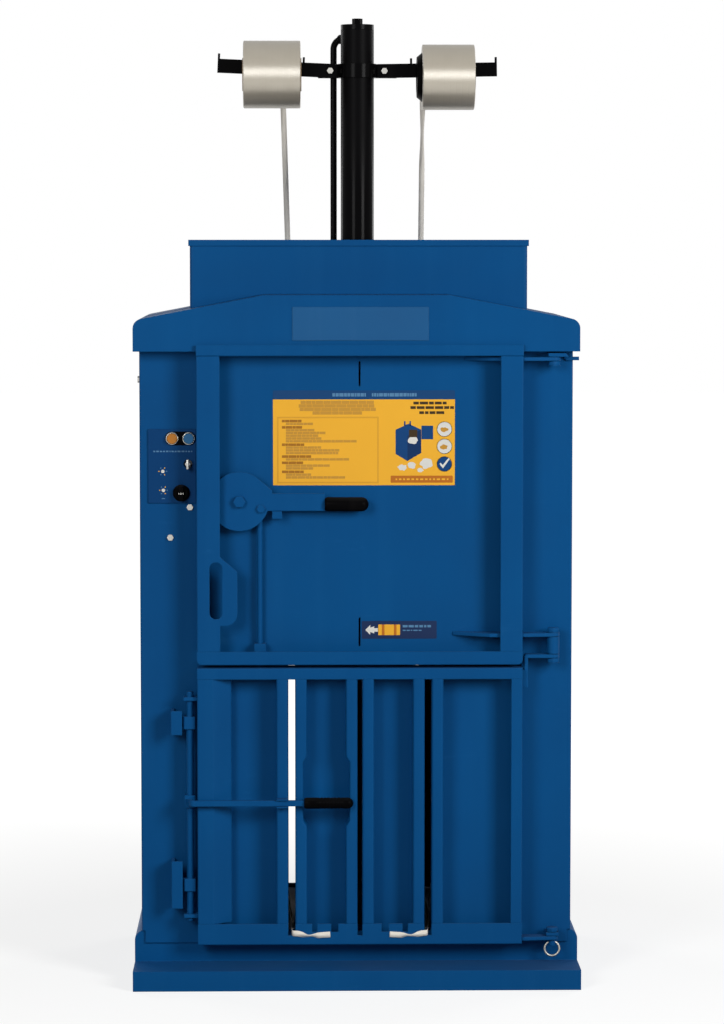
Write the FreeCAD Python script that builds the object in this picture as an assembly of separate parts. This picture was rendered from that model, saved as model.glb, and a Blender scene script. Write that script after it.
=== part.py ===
import FreeCAD, Part
import math
import os

from FreeCAD import Vector

# Small vertical press for baling card and film: an upright steel body with a baling
# chamber, a feed door over a bale door, a hydraulic ram on top and two tape reels.
# Millimetres. X to the right, Y to the back, Z up. The origin is on the floor, in the
# middle of the base.

# ---- Base and body
base_width = 1000.0
base_depth = 650.0
base_height = 116.0
base_corner_radius = 22.0
toe_depth = 110.0
toe_height = 45.0
back_margin = 20.0
body_width = 968.0
body_top = 1423.0
skirt_drop = 28.0
body_sheet = 4.0
body_bend = 4.0
liner_sheet = 6.0
back_plate = 8.0

# ---- Chamber
press_x = 7.0
chamber_width = 680.0
floor_plate = 12.0
channel_width = 36.0
channel_depth = 9.0
channel_offset = 161.0
rear_slot_height = 626.0
inlet_height = 18.0
inlet_width = 14.0

# ---- Tape slots shared by doors, back wall and platen
slot_pitch = 152.5
outer_slot_width = 16.0
middle_slot_width = 11.0

# ---- Doors
door_width = 726.0
door_depth = 58.0
door_gap = 2.0
door_sheet = 4.0
frame_sheet = 6.0
fold_radius = 3.0
door_split = 7.0
feed_overlap = 15.0
feed_top_rail = 25.0
feed_bottom_rail = 30.0
feed_left_stile = 52.0
feed_right_stile = 50.0
feed_corner_radius = 12.0
slit_width = 4.0
upper_slit_height = 55.0
lower_slit_height = 64.0
slit_margin = 13.0

bale_bottom = 94.0
bale_top = 718.0
bale_top_rail = 25.0
bale_bottom_rail = 47.5
bale_right_stile = 25.0
left_plate_flat = 35.0
left_plate_width = 76.0
left_plate_fall = 27.0
bar_width = 26.0
bar_sheet = 4.0
slot_foot = 115.0
slot_head_margin = 28.0
tape_notches = ((45.0, 12.0), (88.0, 16.0))
tape_notch_rise = 8.0
slot_end_share = 0.98

# ---- Grab handle pressed out of the feed door's left stile
grab_slot_width = 28.0
grab_slot_step = 4.5
grab_slot_bottom = 828.0
grab_slot_length = 127.0
grab_grip_width = 34.0
grab_bottom = 813.0
grab_top = 967.0
grab_slope = 33.0
grab_corner = 27.0
grab_shoulder = 6.0
grab_root = 10.0

# ---- Hinges
hinge_offset = 70.0
hinge_setback = 30.0
pin_diameter = 16.0
running_clearance = 0.05
arm_plate = 8.0
eye_radius = 14.0
top_arm_drop = 21.0
mid_arm_rise = 61.0
bale_arm_rise = 20.0
bottom_arm_rise = 6.0
arm_reach_top = 200.0
arm_reach_mid = 226.0
arm_reach_bottom = 150.0
arm_taper = 82.0
arm_edge_gap = 2.0
arm_inset = 10.0
lug_step = 5.0
lug_foot = 40.0
lug_corner = 4.0
knuckle_web = 12.0
bracket_step = 7.0
bracket_overhang = 13.0
nut_across_flats = 24.0
nut_height = 10.0
washer_gap = 1.0

# ---- Feed latch
latch_x = -261.0
latch_z = 1089.0
latch_disc_radius = 66.0
latch_plate = 8.0
latch_plate_front = 23.0
latch_arm_top = 1107.0
latch_arm_height = 39.0
latch_arm_end = -71.0
latch_web_x = -188.0
latch_web_rise = 7.0
latch_web_lean_deg = 51.0
latch_grip_length = 98.0
latch_grip_diameter = 32.0
latch_grip_drop = 5.0
latch_tang_height = 18.0
latch_tang_length = 80.0
latch_pin_x = 48.0
latch_pin_z = -16.0
latch_pin_diameter = 10.0
latch_pin_head = 17.0
latch_stud_diameter = 16.0
latch_boss_width = 32.0
stop_width = 22.0
stop_height = 17.0
stop_gap = 0.5
stop_proud = 4.0
latch_rod_offset = 45.0
rod_diameter = 12.0
rod_tip_depth = 20.0
rod_gap = 2.0
rod_plate = 6.0
rod_slot_width = 26.0
rod_slot_height = 16.0
rod_eye_wall = 6.0
rod_guide_width = 26.0
rod_guide_wall = 5.0
rod_guide_rise = 13.0
rod_guide_height = 32.0
rod_hole_clearance = 1.0

# ---- Bale door lock
lock_offset = 17.0
lock_setback = 25.0
lock_shaft_diameter = 16.0
lock_shaft_bottom = 146.0
lock_shaft_top = 664.0
lock_bearing_plate = 8.0
lock_bearing_wall = 6.0
lock_bearing_levels = (154.0, 644.0)
hook_levels = (214.0, 580.0)
hook_height = 28.0
hook_reach = 26.0
hook_plate = 8.0
hook_hub = 24.0
keeper_gap = 4.0
keeper_plate = 6.0
keeper_overlap = 9.0
keeper_side_gap = 10.0
keeper_fold = 1.5
keeper_spans = ((175.0, 107.0), (567.0, 54.0))
lever_z = 417.0
lever_height = 12.7
lever_plate = 10.0
lever_standoff = 13.5
lever_end = -118.0
lever_tang = 88.0
lever_boss_height = 28.0
lever_root = 4.0
lever_root_setback = 9.0
lever_crank_radius = 4.0
lock_grip_length = 110.0
lock_grip_diameter = 25.0
clip_width = 26.0
clip_gap = 0.6
clip_sheet = 3.0
hand_notch_bottom = 363.0
hand_notch_top = 519.0
hand_notch_depth = 8.0
hand_notch_margin = 14.0
grip_chamfer_share = 0.3

# ---- Hood and power pack housing
hood_width = 992.0
hood_eave_rise = 69.0
hood_peak_rise = 125.0
hood_flat_half = 206.0
hood_corner_radius = 22.0
hood_setback = 10.0
hood_sheet = 4.0
hood_flange = 24.0
housing_width = 760.0
housing_front_y = -130.0
housing_back_y = 303.0
housing_sheet = 3.0
tank_left = -205.0
tank_width = 107.0
tank_front = -100.0
tank_back = 215.0
tank_height = 92.0
motor_x = 146.0
motor_front = -105.0
motor_height = 100.0
motor_width = 100.0
motor_length = 245.0
housing_height = 122.0
lid_lip = 14.0
barrel_opening = 90.0
pipe_opening = 22.0

# ---- Crosshead, ram and platen
beam_length = 940.0
beam_height = 64.0
beam_width = 60.0
beam_wall = 5.0
beam_spacing = 170.0
mount_plate = 15.0
mount_width = 220.0
barrel_diameter = 76.0
barrel_bore = 60.0
barrel_length = 725.0
cap_height = 12.0
boss_across_flats = 21.0
boss_height = 14.0
rod_size = 35.0
piston_height = 40.0
piston_head_gap = 8.0
platen_rest_gap = 13.0
platen_height = 60.0
platen_side_gap = 6.0
platen_front_gap = 10.0
platen_back_gap = 8.0
platen_plate = 12.0
platen_wall = 6.0
platen_groove_width = 20.0
pad_gap = 0.5
pad_width = 50.0
pad_height = 44.0

# ---- Reel arms, reels and oil pipe
arm_drop = 93.0
bar_depth = 32.0
bar_thickness = 8.0
bar_length = 320.0
bar_start = 46.0
left_bar_rise_deg = 2.5
right_bar_rise_deg = 0.9
bar_tab_height = 12.0
bar_tab_width = 5.0
clamp_wall = 6.0
clamp_ear = 90.0
clamp_ear_plate = 8.0
clamp_bolt_offset = 62.0
core_bore = 68.0
core_wall = 4.0
left_roll_diameter = 155.0
left_roll_width = 131.0
left_roll_x = -254.0
right_roll_diameter = 150.0
right_roll_width = 120.0
right_roll_x = 155.0
core_overhang = 2.0
flange_wide = 112.0
flange_narrow = 92.0
flange_length = 12.0
left_arm_stop = 80.0
right_arm_stop = 80.0
hang_gap = 0.3
pipe_diameter = 15.0
pipe_x = -47.0
pipe_y = 72.0
pipe_port_drop = 20.0
valve_height = 52.0
valve_reach_left = 42.0
valve_reach_right = 12.0
valve_reach_front = 20.0
valve_reach_back = 60.0
fitting_height = 24.0
fitting_width = 19.0

# ---- Baling tape
tape_width = 13.0
tape_thickness = 0.9
left_tape_x = -164.0
right_tape_x = 166.0
tape_lift = 0.3
tape_bend = 20.0
guide_bar_diameter = 12.0
guide_bar_drop = 20.0
guide_bar_length = 394.0
guide_bar_standoff = 11.0
guide_plate = 5.0
tape_end_height = 123.0
tape_end_reach = 86.0
tape_end_bend = 3.0

# ---- Controls on the left column
panel_left = -465.0
panel_width = 107.0
panel_bottom = 1083.0
panel_height = 166.0
panel_sheet = 3.0
panel_margin = 6.0
button_z = 1228.0
orange_x = -411.0
blue_x = -374.0
button_diameter = 22.0
bezel_diameter = 29.0
bezel_height = 7.0
button_proud = 3.0
button_length = 5.6
button_gap = 0.1
selector_x = -391.0
selector_z = 1106.0
selector_diameter = 38.0
selector_height = 12.0
selector_grip_width = 12.0
selector_grip_height = 12.0
selector_shaft = 8.0
selector_gap = 0.5
selector_grip_inset = 2.0
key_x = -376.0
key_z = 1171.0
key_plug_diameter = 19.0
key_plug_proud = 9.0
key_bow_width = 15.0
key_bow_height = 22.0
key_bow_thickness = 2.4
control_box_depth = 90.0
control_box_gap = 6.0

# ---- Small bolts
bolt_across_flats = 13.0
bolt_head = 5.5
panel_bolt_points = ((-372.0, 1074.0), (-416.0, 1006.0))
side_bolt_z = 1358.0
side_bolt_y = -170.0
ring_radius = 16.5
ring_wire = 5.0
ring_flats = 12
ring_z = 78.0

# ---- Places worked out from the sizes above
hood_eave = body_top + hood_eave_rise
hood_peak = body_top + hood_peak_rise
lid_top = hood_peak + housing_height
barrel_top = body_top + barrel_length
arm_z = barrel_top - arm_drop
pipe_port_z = barrel_top - pipe_port_drop
guide_bar_z = lid_top - guide_bar_drop
feed_bottom = bale_top + door_split
feed_top = body_top + feed_overlap
top_arm_z = body_top - top_arm_drop
mid_arm_z = feed_bottom + mid_arm_rise
bale_arm_z = bale_top + bale_arm_rise
bottom_arm_z = bale_bottom + bottom_arm_rise
rod_tip_z = bale_top - rod_tip_depth
rod_guide_bottom = feed_bottom + rod_guide_rise
base_front = -base_depth / 2
base_back = base_depth / 2
body_front = base_front + toe_depth
body_back = base_back - back_margin
chamber_left = press_x - chamber_width / 2
chamber_right = press_x + chamber_width / 2
chamber_back = body_back - back_plate
press_y = (body_front + body_back) / 2
floor_top = base_height + floor_plate
channel_floor = floor_top - channel_depth
slot_centres = (press_x - slot_pitch, press_x, press_x + slot_pitch)
slot_widths = (outer_slot_width, middle_slot_width, outer_slot_width)
door_back = body_front - door_gap
door_front = door_back - door_depth
door_left = press_x - door_width / 2
door_right = press_x + door_width / 2
sheet_front = door_back - door_sheet
flange_back = door_front + frame_sheet
hinge_x = door_right + hinge_offset
hinge_y = door_front + hinge_setback
pin_radius = pin_diameter / 2
eye_bore = pin_radius + running_clearance
lock_x = door_left - lock_offset
lock_y = door_front + lock_setback
feed_rail_z = feed_top - feed_top_rail
hood_front = door_front + hood_setback
hood_bottom = body_top
left_side = -body_width / 2
right_side = body_width / 2


# ---- Outlines with rounded corners

def in_front_view(u, v):
    return Vector(u, 0, v)


def in_plan(u, v):
    return Vector(u, v, 0)


def in_side_view(u, v):
    return Vector(0, u, v)


def corner_points(before, corner, after, radius):
    """Start, middle and end of the arc that rounds one corner."""
    point = Vector(corner[0], corner[1], 0)
    back = (Vector(before[0], before[1], 0) - point).normalize()
    ahead = (Vector(after[0], after[1], 0) - point).normalize()
    half = back.getAngle(ahead) / 2
    reach = radius / math.tan(half)
    bisector = (back + ahead).normalize()
    middle = point + bisector * (radius / math.sin(half) - radius)
    return point + back * reach, middle, point + ahead * reach


def outline(corners, place):
    """Closed wire through (u, v) or (u, v, radius) corners, laid out by place."""
    count = len(corners)
    stations = []
    for index, corner in enumerate(corners):
        if len(corner) > 2 and corner[2] > 0:
            before = corners[index - 1]
            after = corners[(index + 1) % count]
            stations.append(corner_points(before, corner, after, corner[2]))
        else:
            point = Vector(corner[0], corner[1], 0)
            stations.append((point, None, point))
    edges = []
    for index, (start, middle, end) in enumerate(stations):
        if middle is not None:
            arc = Part.Arc(place(start.x, start.y), place(middle.x, middle.y), place(end.x, end.y))
            edges.append(arc.toShape())
        following = stations[(index + 1) % count][0]
        if (following - end).Length > 1e-6:
            line = Part.LineSegment(place(end.x, end.y), place(following.x, following.y))
            edges.append(line.toShape())
    return Part.Wire(edges)


def front_prism(corners, front, back):
    face = Part.Face(outline(corners, in_front_view))
    face.translate(Vector(0, front, 0))
    return face.extrude(Vector(0, back - front, 0))


def plan_prism(corners, bottom, top):
    face = Part.Face(outline(corners, in_plan))
    face.translate(Vector(0, 0, bottom))
    return face.extrude(Vector(0, 0, top - bottom))


def side_prism(corners, left, right):
    face = Part.Face(outline(corners, in_side_view))
    face.translate(Vector(left, 0, 0))
    return face.extrude(Vector(right - left, 0, 0))


def block(left, right, front, back, bottom, top):
    return Part.makeBox(right - left, back - front, top - bottom, Vector(left, front, bottom))


def band(points, right, left):
    """Closed outline of a sheet along (u, v, inner radius) points, by its reach to either side."""
    spots = [Vector(point[0], point[1], 0) for point in points]
    steps = [(after - before).normalize() for before, after in zip(spots, spots[1:])]
    lefts = [Vector(-step.y, step.x, 0) for step in steps]
    near = []
    far = []
    for index, spot in enumerate(spots):
        before = lefts[max(index - 1, 0)]
        after = lefts[min(index, len(lefts) - 1)]
        shift = (before + after) * (1 / (1 + before.dot(after)))
        low = spot - shift * right
        high = spot + shift * left
        radii = (0, 0)
        if len(points[index]) > 2:
            inner = points[index][2]
            outer = inner + right + left
            radii = (outer, inner) if before.cross(after).z > 0 else (inner, outer)
        near.append((low.x, low.y, radii[0]))
        far.append((high.x, high.y, radii[1]))
    return near + far[::-1]


def folded(points, thickness, bend):
    """Outline of a sheet folded inwards along points, rounded outside and sharp inside."""
    spots = [Vector(u, v, 0) for u, v in points]
    if (spots[1] - spots[0]).cross(spots[2] - spots[1]).z < 0:
        points = points[::-1]
    count = len(points)
    corners = band(points, 0, thickness)
    for index in range(1, count - 1):
        corners[index] = (corners[index][0], corners[index][1], bend)
    return corners


def round_bar(radius, start, direction, length):
    return Part.makeCylinder(radius, length, start, direction)


def ring(outer, inner, start, direction, length):
    return round_bar(outer, start, direction, length).cut(round_bar(inner, start, direction, length))


def hexagon(across_flats, start, direction, height):
    """Hexagonal head or nut."""
    corners = across_flats / math.sqrt(3)
    points = []
    for index in range(7):
        turn = math.radians(60 * index)
        points.append(Vector(corners * math.cos(turn), corners * math.sin(turn), 0))
    face = Part.Face(Part.makePolygon(points))
    solid = face.extrude(Vector(0, 0, height))
    solid.Placement = FreeCAD.Placement(start, FreeCAD.Rotation(Vector(0, 0, 1), direction))
    return solid


UP = Vector(0, 0, 1)
BACKWARD = Vector(0, 1, 0)
FORWARD = Vector(0, -1, 0)
RIGHTWARD = Vector(1, 0, 0)


# ---- Body

def base_frame():
    """Floor box with rounded shoulders and the low toe box along its front."""
    half = base_width / 2
    shoulders = [
        (-half, 0),
        (half, 0),
        (half, base_height, base_corner_radius),
        (-half, base_height, base_corner_radius),
    ]
    floor_box = front_prism(shoulders, body_front + body_sheet, base_back)
    toe = block(-half, half, base_front, body_front + body_sheet, 0, toe_height)
    return floor_box.fuse(toe).removeSplitter()


def column(outer, inner):
    """Side column: one folded sheet, open towards the chamber, with a skirt over the base."""
    path = [(inner, body_back), (outer, body_back), (outer, body_front), (inner, body_front)]
    shell = plan_prism(folded(path, body_sheet, body_bend), base_height, body_top)
    corner = body_bend + body_sheet
    low, high = sorted((outer + math.copysign(corner, inner - outer), inner))
    foot = base_height - skirt_drop
    skirt = block(low, high, body_front, body_front + body_sheet, foot, base_height)
    return shell.fuse(skirt).removeSplitter()


def left_column():
    """Left column with a window for the switches behind the control panel."""
    window = block(
        panel_left + panel_margin,
        panel_left + panel_width - panel_margin,
        body_front,
        body_front + body_sheet,
        panel_bottom + panel_margin,
        panel_bottom + panel_height - panel_margin,
    )
    return column(left_side, chamber_left).cut(window)


def right_column():
    return column(right_side, chamber_right)


def chamber_wall(inner, outward):
    low, high = sorted((inner, inner + outward * liner_sheet))
    return block(low, high, body_front + body_sheet, body_back - body_sheet, base_height, body_top)


def channel_centre(side):
    return press_x + side * channel_offset


def chamber_floor():
    """Floor plate with a channel under the bale for each tape."""
    corners = [(chamber_left, base_height), (chamber_right, base_height), (chamber_right, floor_top)]
    for side in (1, -1):
        middle = channel_centre(side)
        high = middle + channel_width / 2
        low = middle - channel_width / 2
        corners += [(high, floor_top), (high, channel_floor), (low, channel_floor), (low, floor_top)]
    corners.append((chamber_left, floor_top))
    return front_prism(corners, body_front + body_sheet, chamber_back)


def back_wall():
    """Rear plate with the two tape slots, each with an inlet beside its foot."""
    plate = block(chamber_left, chamber_right, chamber_back, body_back, base_height, body_top)
    half = outer_slot_width / 2
    wide = inlet_width / 2
    for side, centre in ((-1, slot_centres[0]), (1, slot_centres[2])):
        top = floor_top + rear_slot_height
        middle = left_tape_x if side < 0 else right_tape_x
        slot = block(centre - half, centre + half, chamber_back, body_back, floor_top, top)
        sill = channel_floor + inlet_height
        inlet = block(middle - wide, middle + wide, chamber_back, body_back, channel_floor, sill)
        plate = plate.cut(slot).cut(inlet)
    return plate


# ---- Hood, crosshead and housing

def hood_corners(inset):
    half = hood_width / 2 - inset
    flat = hood_flat_half
    return [
        (-half, hood_bottom),
        (half, hood_bottom),
        (half, hood_eave - inset, hood_corner_radius - inset),
        (flat, hood_peak - inset),
        (-flat, hood_peak - inset),
        (-half, hood_eave - inset, hood_corner_radius - inset),
    ]


def hood():
    """Folded cover over the crosshead, open inside, with a flange that sits on the columns."""
    shell = front_prism(hood_corners(0), hood_front, body_back)
    inside = [corner[:2] for corner in hood_corners(hood_sheet)]
    cavity = front_prism(inside, hood_front + hood_sheet, body_back - hood_sheet)
    half = hood_width / 2
    low = hood_bottom + hood_sheet
    above = block(-half, half, hood_front, body_back, low, hood_peak)
    inner = half - hood_flange
    front = body_front + hood_flange / 2
    opening = block(-inner, inner, front, body_back - hood_flange, hood_bottom, low)
    reach = barrel_opening / 2
    left, right = press_x - reach, press_x + reach
    barrel_way = block(left, right, press_y - reach, press_y + reach, hood_bottom, hood_peak)
    return shell.cut(cavity.common(above)).cut(opening).cut(barrel_way)


def crosshead_beam(side):
    """Square tube across the columns, one each side of the ram."""
    middle = press_y + side * beam_spacing / 2
    half = beam_length / 2
    front, back = middle - beam_width / 2, middle + beam_width / 2
    top = body_top + beam_height
    tube = block(-half, half, front, back, body_top, top)
    wall = beam_wall
    return tube.cut(block(-half, half, front + wall, back - wall, body_top + wall, top - wall))


def housing_plan(inset):
    half = housing_width / 2 - inset
    return press_x - half, press_x + half


def housing_shell():
    """Front, sides and back of the power pack housing, cut to the slopes of the hood."""
    left, right = housing_plan(0)
    bend = housing_sheet + body_bend
    corners = [
        (left, housing_front_y, bend),
        (right, housing_front_y, bend),
        (right, housing_back_y),
        (left, housing_back_y),
    ]
    t = housing_sheet
    top = lid_top - t
    walls = plan_prism(corners, hood_bottom, top)
    inside = block(left + t, right - t, housing_front_y + t, housing_back_y - t, hood_bottom, top)
    return walls.cut(inside).cut(front_prism(hood_corners(0), hood_front, body_back))


def housing_lid():
    """Lid with a turned-down lip all round and one opening for the ram and its pipe."""
    left, right = housing_plan(0)
    t = housing_sheet
    foot = lid_top - lid_lip
    plate = block(left - t, right + t, housing_front_y - t, housing_back_y + t, foot, lid_top)
    inside = block(left, right, housing_front_y, housing_back_y, foot, lid_top - t)
    reach = barrel_opening / 2
    pipe_edge = pipe_x - pipe_opening / 2
    opening = block(pipe_edge, press_x + reach, press_y - reach, press_y + reach, lid_top - t, lid_top)
    return plate.cut(inside).cut(opening)


# ---- Hydraulic ram

def cylinder_mount_plate():
    """Thick plate under the beams that carries the barrel and guides the rod."""
    half = mount_width / 2
    depth = (beam_spacing + beam_width) / 2
    foot = body_top - mount_plate
    plate = block(press_x - half, press_x + half, press_y - depth, press_y + depth, foot, body_top)
    bush = rod_size / 2 + running_clearance
    return plate.cut(round_bar(bush, Vector(press_x, press_y, foot), UP, mount_plate))


def barrel():
    height = barrel_top - body_top
    return ring(barrel_diameter / 2, barrel_bore / 2, Vector(press_x, press_y, body_top), UP, height)


def turned_on_ram(profile):
    """Revolve a section of radius and height about the ram's axis."""
    face = Part.Face(outline(profile, in_front_view))
    face.translate(Vector(press_x, press_y, 0))
    return face.revolve(Vector(press_x, press_y, 0), UP, 360)


def barrel_cap():
    """Screwed end cap with a hexagonal bleed plug."""
    foot = Vector(press_x, press_y, barrel_top)
    cap = round_bar(barrel_diameter / 2, foot, UP, cap_height)
    plug = hexagon(boss_across_flats, foot + UP * cap_height, UP, boss_height)
    return cap.fuse(plug).removeSplitter()


def platen_top():
    return body_top - mount_plate - platen_rest_gap


def platen_bottom():
    return platen_top() - platen_height


def piston_rod():
    """Rod with its piston, welded to the top of the platen."""
    piston_top = barrel_top - piston_head_gap
    ring_radius_out = barrel_bore / 2 - running_clearance
    profile = [
        (0, platen_top()),
        (rod_size / 2, platen_top()),
        (rod_size / 2, piston_top - piston_height),
        (ring_radius_out, piston_top - piston_height),
        (ring_radius_out, piston_top),
        (0, piston_top),
    ]
    return turned_on_ram(profile)


def platen():
    """Press plate of box channels, with a groove over each tape slot."""
    left = chamber_left + platen_side_gap
    right = chamber_right - platen_side_gap
    top = platen_top()
    bottom = platen_bottom()
    shelf = top - platen_plate
    half = platen_groove_width / 2
    cells = []
    starts = [left] + [centre + half for centre in slot_centres]
    ends = [centre - half for centre in slot_centres] + [right]
    corners = [(left, bottom), (left, top), (right, top)]
    for start, end in reversed(list(zip(starts, ends))):
        if end == right:
            corners += [(end, bottom), (start, bottom), (start, shelf)]
        elif start == left:
            corners += [(end, shelf), (end, bottom)]
        else:
            corners += [(end, shelf), (end, bottom), (start, bottom), (start, shelf)]
        cells.append((start + platen_wall, end - platen_wall))
    front = body_front + platen_front_gap
    back = chamber_back - platen_back_gap
    solid = front_prism(corners, front, back)
    for start, end in cells:
        solid = solid.cut(block(start, end, front, back, bottom + platen_wall, shelf))
    return solid


def platen_guide_pads():
    """Four sliding pads that keep the platen square between the chamber walls."""
    left = chamber_left + platen_side_gap
    right = chamber_right - platen_side_gap
    middle = (platen_top() + platen_bottom()) / 2
    low = middle - pad_height / 2
    pads = []
    for y in (body_front + platen_front_gap, chamber_back - platen_back_gap - pad_width):
        pads.append(block(chamber_left + pad_gap, left, y, y + pad_width, low, low + pad_height))
        pads.append(block(right, chamber_right - pad_gap, y, y + pad_width, low, low + pad_height))
    return pads


def oil_tank():
    """Folded steel tank on the flat of the hood."""
    right = tank_left + tank_width
    return block(tank_left, right, tank_front, tank_back, hood_peak, hood_peak + tank_height)


def pump_motor():
    """Electric motor and pump in their casing beside the barrel."""
    half = motor_width / 2
    back = motor_front + motor_length
    return block(motor_x - half, motor_x + half, motor_front, back, hood_peak, hood_peak + motor_height)


def valve_block():
    """Valves under the foot of the oil pipe."""
    return block(
        pipe_x - valve_reach_left,
        pipe_x + valve_reach_right,
        pipe_y - valve_reach_front,
        pipe_y + valve_reach_back,
        hood_peak,
        hood_peak + valve_height,
    )


def oil_pipe():
    """Steel pipe from the valve block to an elbow fitting screwed into the barrel's head."""
    radial = Vector(pipe_x - press_x, pipe_y - press_y, 0)
    outward = radial * (1 / radial.Length)
    radius = pipe_diameter / 2
    start = Vector(press_x, press_y, pipe_port_z) + outward * (barrel_diameter / 2 - radius)
    port = round_bar(radius, start, outward, radial.Length + radius - barrel_diameter / 2)
    foot = Vector(pipe_x, pipe_y, hood_peak + valve_height)
    drop = round_bar(radius, foot, UP, pipe_port_z - foot.z)
    fitting = Vector(pipe_x, pipe_y, pipe_port_z - fitting_height / 2)
    elbow = hexagon(fitting_width, fitting, UP, fitting_height)
    pipe = drop.fuse(elbow).fuse(port).removeSplitter()
    axis = Vector(press_x, press_y, body_top)
    return pipe.cut(round_bar(barrel_diameter / 2, axis, UP, barrel_top - body_top))


# ---- Reels

def bar_frame(side):
    """Placement of a reel arm: its length runs along local X and rises outwards."""
    rise = left_bar_rise_deg if side < 0 else right_bar_rise_deg
    start = Vector(press_x + side * bar_start, press_y, arm_z)
    turn = FreeCAD.Rotation(Vector(0, 1, 0), rise if side < 0 else -rise)
    return FreeCAD.Placement(start, turn)


def bar_top_at(side, x):
    """Height of an arm's upper edge at a given X."""
    rise = math.radians(left_bar_rise_deg if side < 0 else right_bar_rise_deg)
    run = abs(x - press_x) - bar_start
    return arm_z + run * math.tan(rise) + bar_depth / 2 / math.cos(rise)


def reel_arm(side, inner_tab):
    """Flat bar on edge with a stop tab each side of its reel."""
    low = -bar_depth / 2
    high = bar_depth / 2
    tab = high + bar_tab_height
    end = bar_length - bar_start
    corners = [
        (0, low),
        (end, low),
        (end, tab),
        (end - bar_tab_width, tab),
        (end - bar_tab_width, high),
        (inner_tab, high),
        (inner_tab, tab),
        (inner_tab - bar_tab_width, tab),
        (inner_tab - bar_tab_width, high),
        (0, high),
    ]
    corners = [(side * u, v) for u, v in corners]
    bar = front_prism(corners, -bar_thickness / 2, bar_thickness / 2)
    bar.Placement = bar_frame(side)
    return bar


def clamp_bolt(side):
    """Middle of a clamp bolt on the arm's front face."""
    x = press_x + side * clamp_bolt_offset
    return Vector(x, press_y - bar_thickness / 2, bar_top_at(side, x) - bar_depth / 2)


def reel_arm_clamp():
    """Band round the barrel with an ear each side for the arms."""
    inner = barrel_diameter / 2
    low = arm_z - bar_depth / 2
    foot = Vector(press_x, press_y, low)
    band_ring = round_bar(inner + clamp_wall, foot, UP, bar_depth)
    front = press_y + bar_thickness / 2
    back = front + clamp_ear_plate
    ears = block(press_x - clamp_ear, press_x + clamp_ear, front, back, low, low + bar_depth)
    return band_ring.fuse(ears).cut(round_bar(inner, foot, UP, bar_depth)).removeSplitter()


def reel_arm_bolts():
    """Bolt head in front of each arm and its nut behind the ear."""
    bolts = []
    for side in (-1, 1):
        face = clamp_bolt(side)
        behind = face + BACKWARD * (bar_thickness + clamp_ear_plate)
        bolts.append(hexagon(bolt_across_flats, face, FORWARD, bolt_head))
        bolts.append(hexagon(bolt_across_flats, behind, BACKWARD, bolt_head))
    return bolts


def roll_centre(side, low, width):
    """Middle of a roll whose core hangs on the top edge of its arm."""
    high = low + width
    drop = math.sqrt((core_bore / 2) ** 2 - (bar_thickness / 2) ** 2)
    outer = low if side < 0 else high
    return Vector((low + high) / 2, press_y, bar_top_at(side, outer) + hang_gap - drop)


def left_roll_centre():
    return roll_centre(-1, left_roll_x, left_roll_width)


def right_roll_centre():
    return roll_centre(1, right_roll_x, right_roll_width)


def turned_on_arm(profile, centre):
    """Revolve a section of length and radius about the roll's axis."""
    face = Part.Face(outline(profile, in_front_view))
    turned = face.revolve(Vector(0, 0, 0), RIGHTWARD, 360)
    turned.translate(centre)
    return turned


def tape_roll(centre, width, diameter):
    """Wound tape round its core."""
    half = width / 2
    inner = core_bore / 2 + core_wall
    profile = [(-half, inner), (-half, diameter / 2), (half, diameter / 2), (half, inner)]
    return turned_on_arm(profile, centre)


def roll_core(centre, width):
    """Cardboard tube a little longer than its winding."""
    half = width / 2 + core_overhang
    outer = core_bore / 2 + core_wall
    profile = [(-half, core_bore / 2), (-half, outer), (half, outer), (half, core_bore / 2)]
    return turned_on_arm(profile, centre)


def flanged_hub(centre, width):
    """Black hub of the right roll with a tapered flange against the winding's inner side."""
    face = -width / 2
    inner = core_bore / 2
    profile = [
        (face - flange_length, inner),
        (face - flange_length, flange_narrow / 2),
        (face, flange_wide / 2),
        (face, inner + core_wall),
        (width / 2 + core_overhang, inner + core_wall),
        (width / 2 + core_overhang, inner),
    ]
    return turned_on_arm(profile, centre)


# ---- Tapes

def tape_x(side):
    return left_tape_x if side < 0 else right_tape_x


def tape_front_x(side):
    return press_x + side * slot_pitch


def guide_bar_y():
    return housing_back_y + guide_bar_standoff


def off_surface():
    """Distance of the tape's middle line from a face it lies on."""
    return tape_lift + tape_thickness / 2


def tape_floor_z():
    return channel_floor + off_surface()


def tape_route(centre, diameter):
    """Tape seen from the side: roll, guide bar, down the back, forward at the floor."""
    roll = diameter / 2 + off_surface()
    turn = guide_bar_diameter / 2 + off_surface()
    span = Vector(guide_bar_y() - centre.y, guide_bar_z - centre.z, 0)
    heading = math.atan2(span.y, span.x) + math.acos((roll - turn) / span.Length)
    down_y = guide_bar_y() + turn
    return [
        (centre.y + roll * math.cos(heading), centre.z + roll * math.sin(heading)),
        (down_y, guide_bar_z + turn * math.tan(heading / 2), guide_bar_diameter / 2 + tape_lift),
        (down_y, tape_floor_z(), tape_bend),
        (chamber_back, tape_floor_z()),
    ]


def tape_run(side, centre, diameter):
    """Tape from its roll over the guide bar, down the back and forward under the bale."""
    half = tape_thickness / 2
    wide = tape_width / 2
    x = tape_x(side)
    hanging = side_prism(band(tape_route(centre, diameter), half, half), x - wide, x + wide)
    front_x = tape_front_x(side)
    floor_run = plan_prism(
        [
            (x - wide, chamber_back),
            (x + wide, chamber_back),
            (front_x + wide, meeting_y()),
            (front_x - wide, meeting_y()),
        ],
        tape_floor_z() - half,
        tape_floor_z() + half,
    )
    return hanging.fuse(floor_run).removeSplitter()


def meeting_y():
    """Plane between the body and the bale door where run and end of a tape meet."""
    return body_front - door_gap / 2


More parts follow.
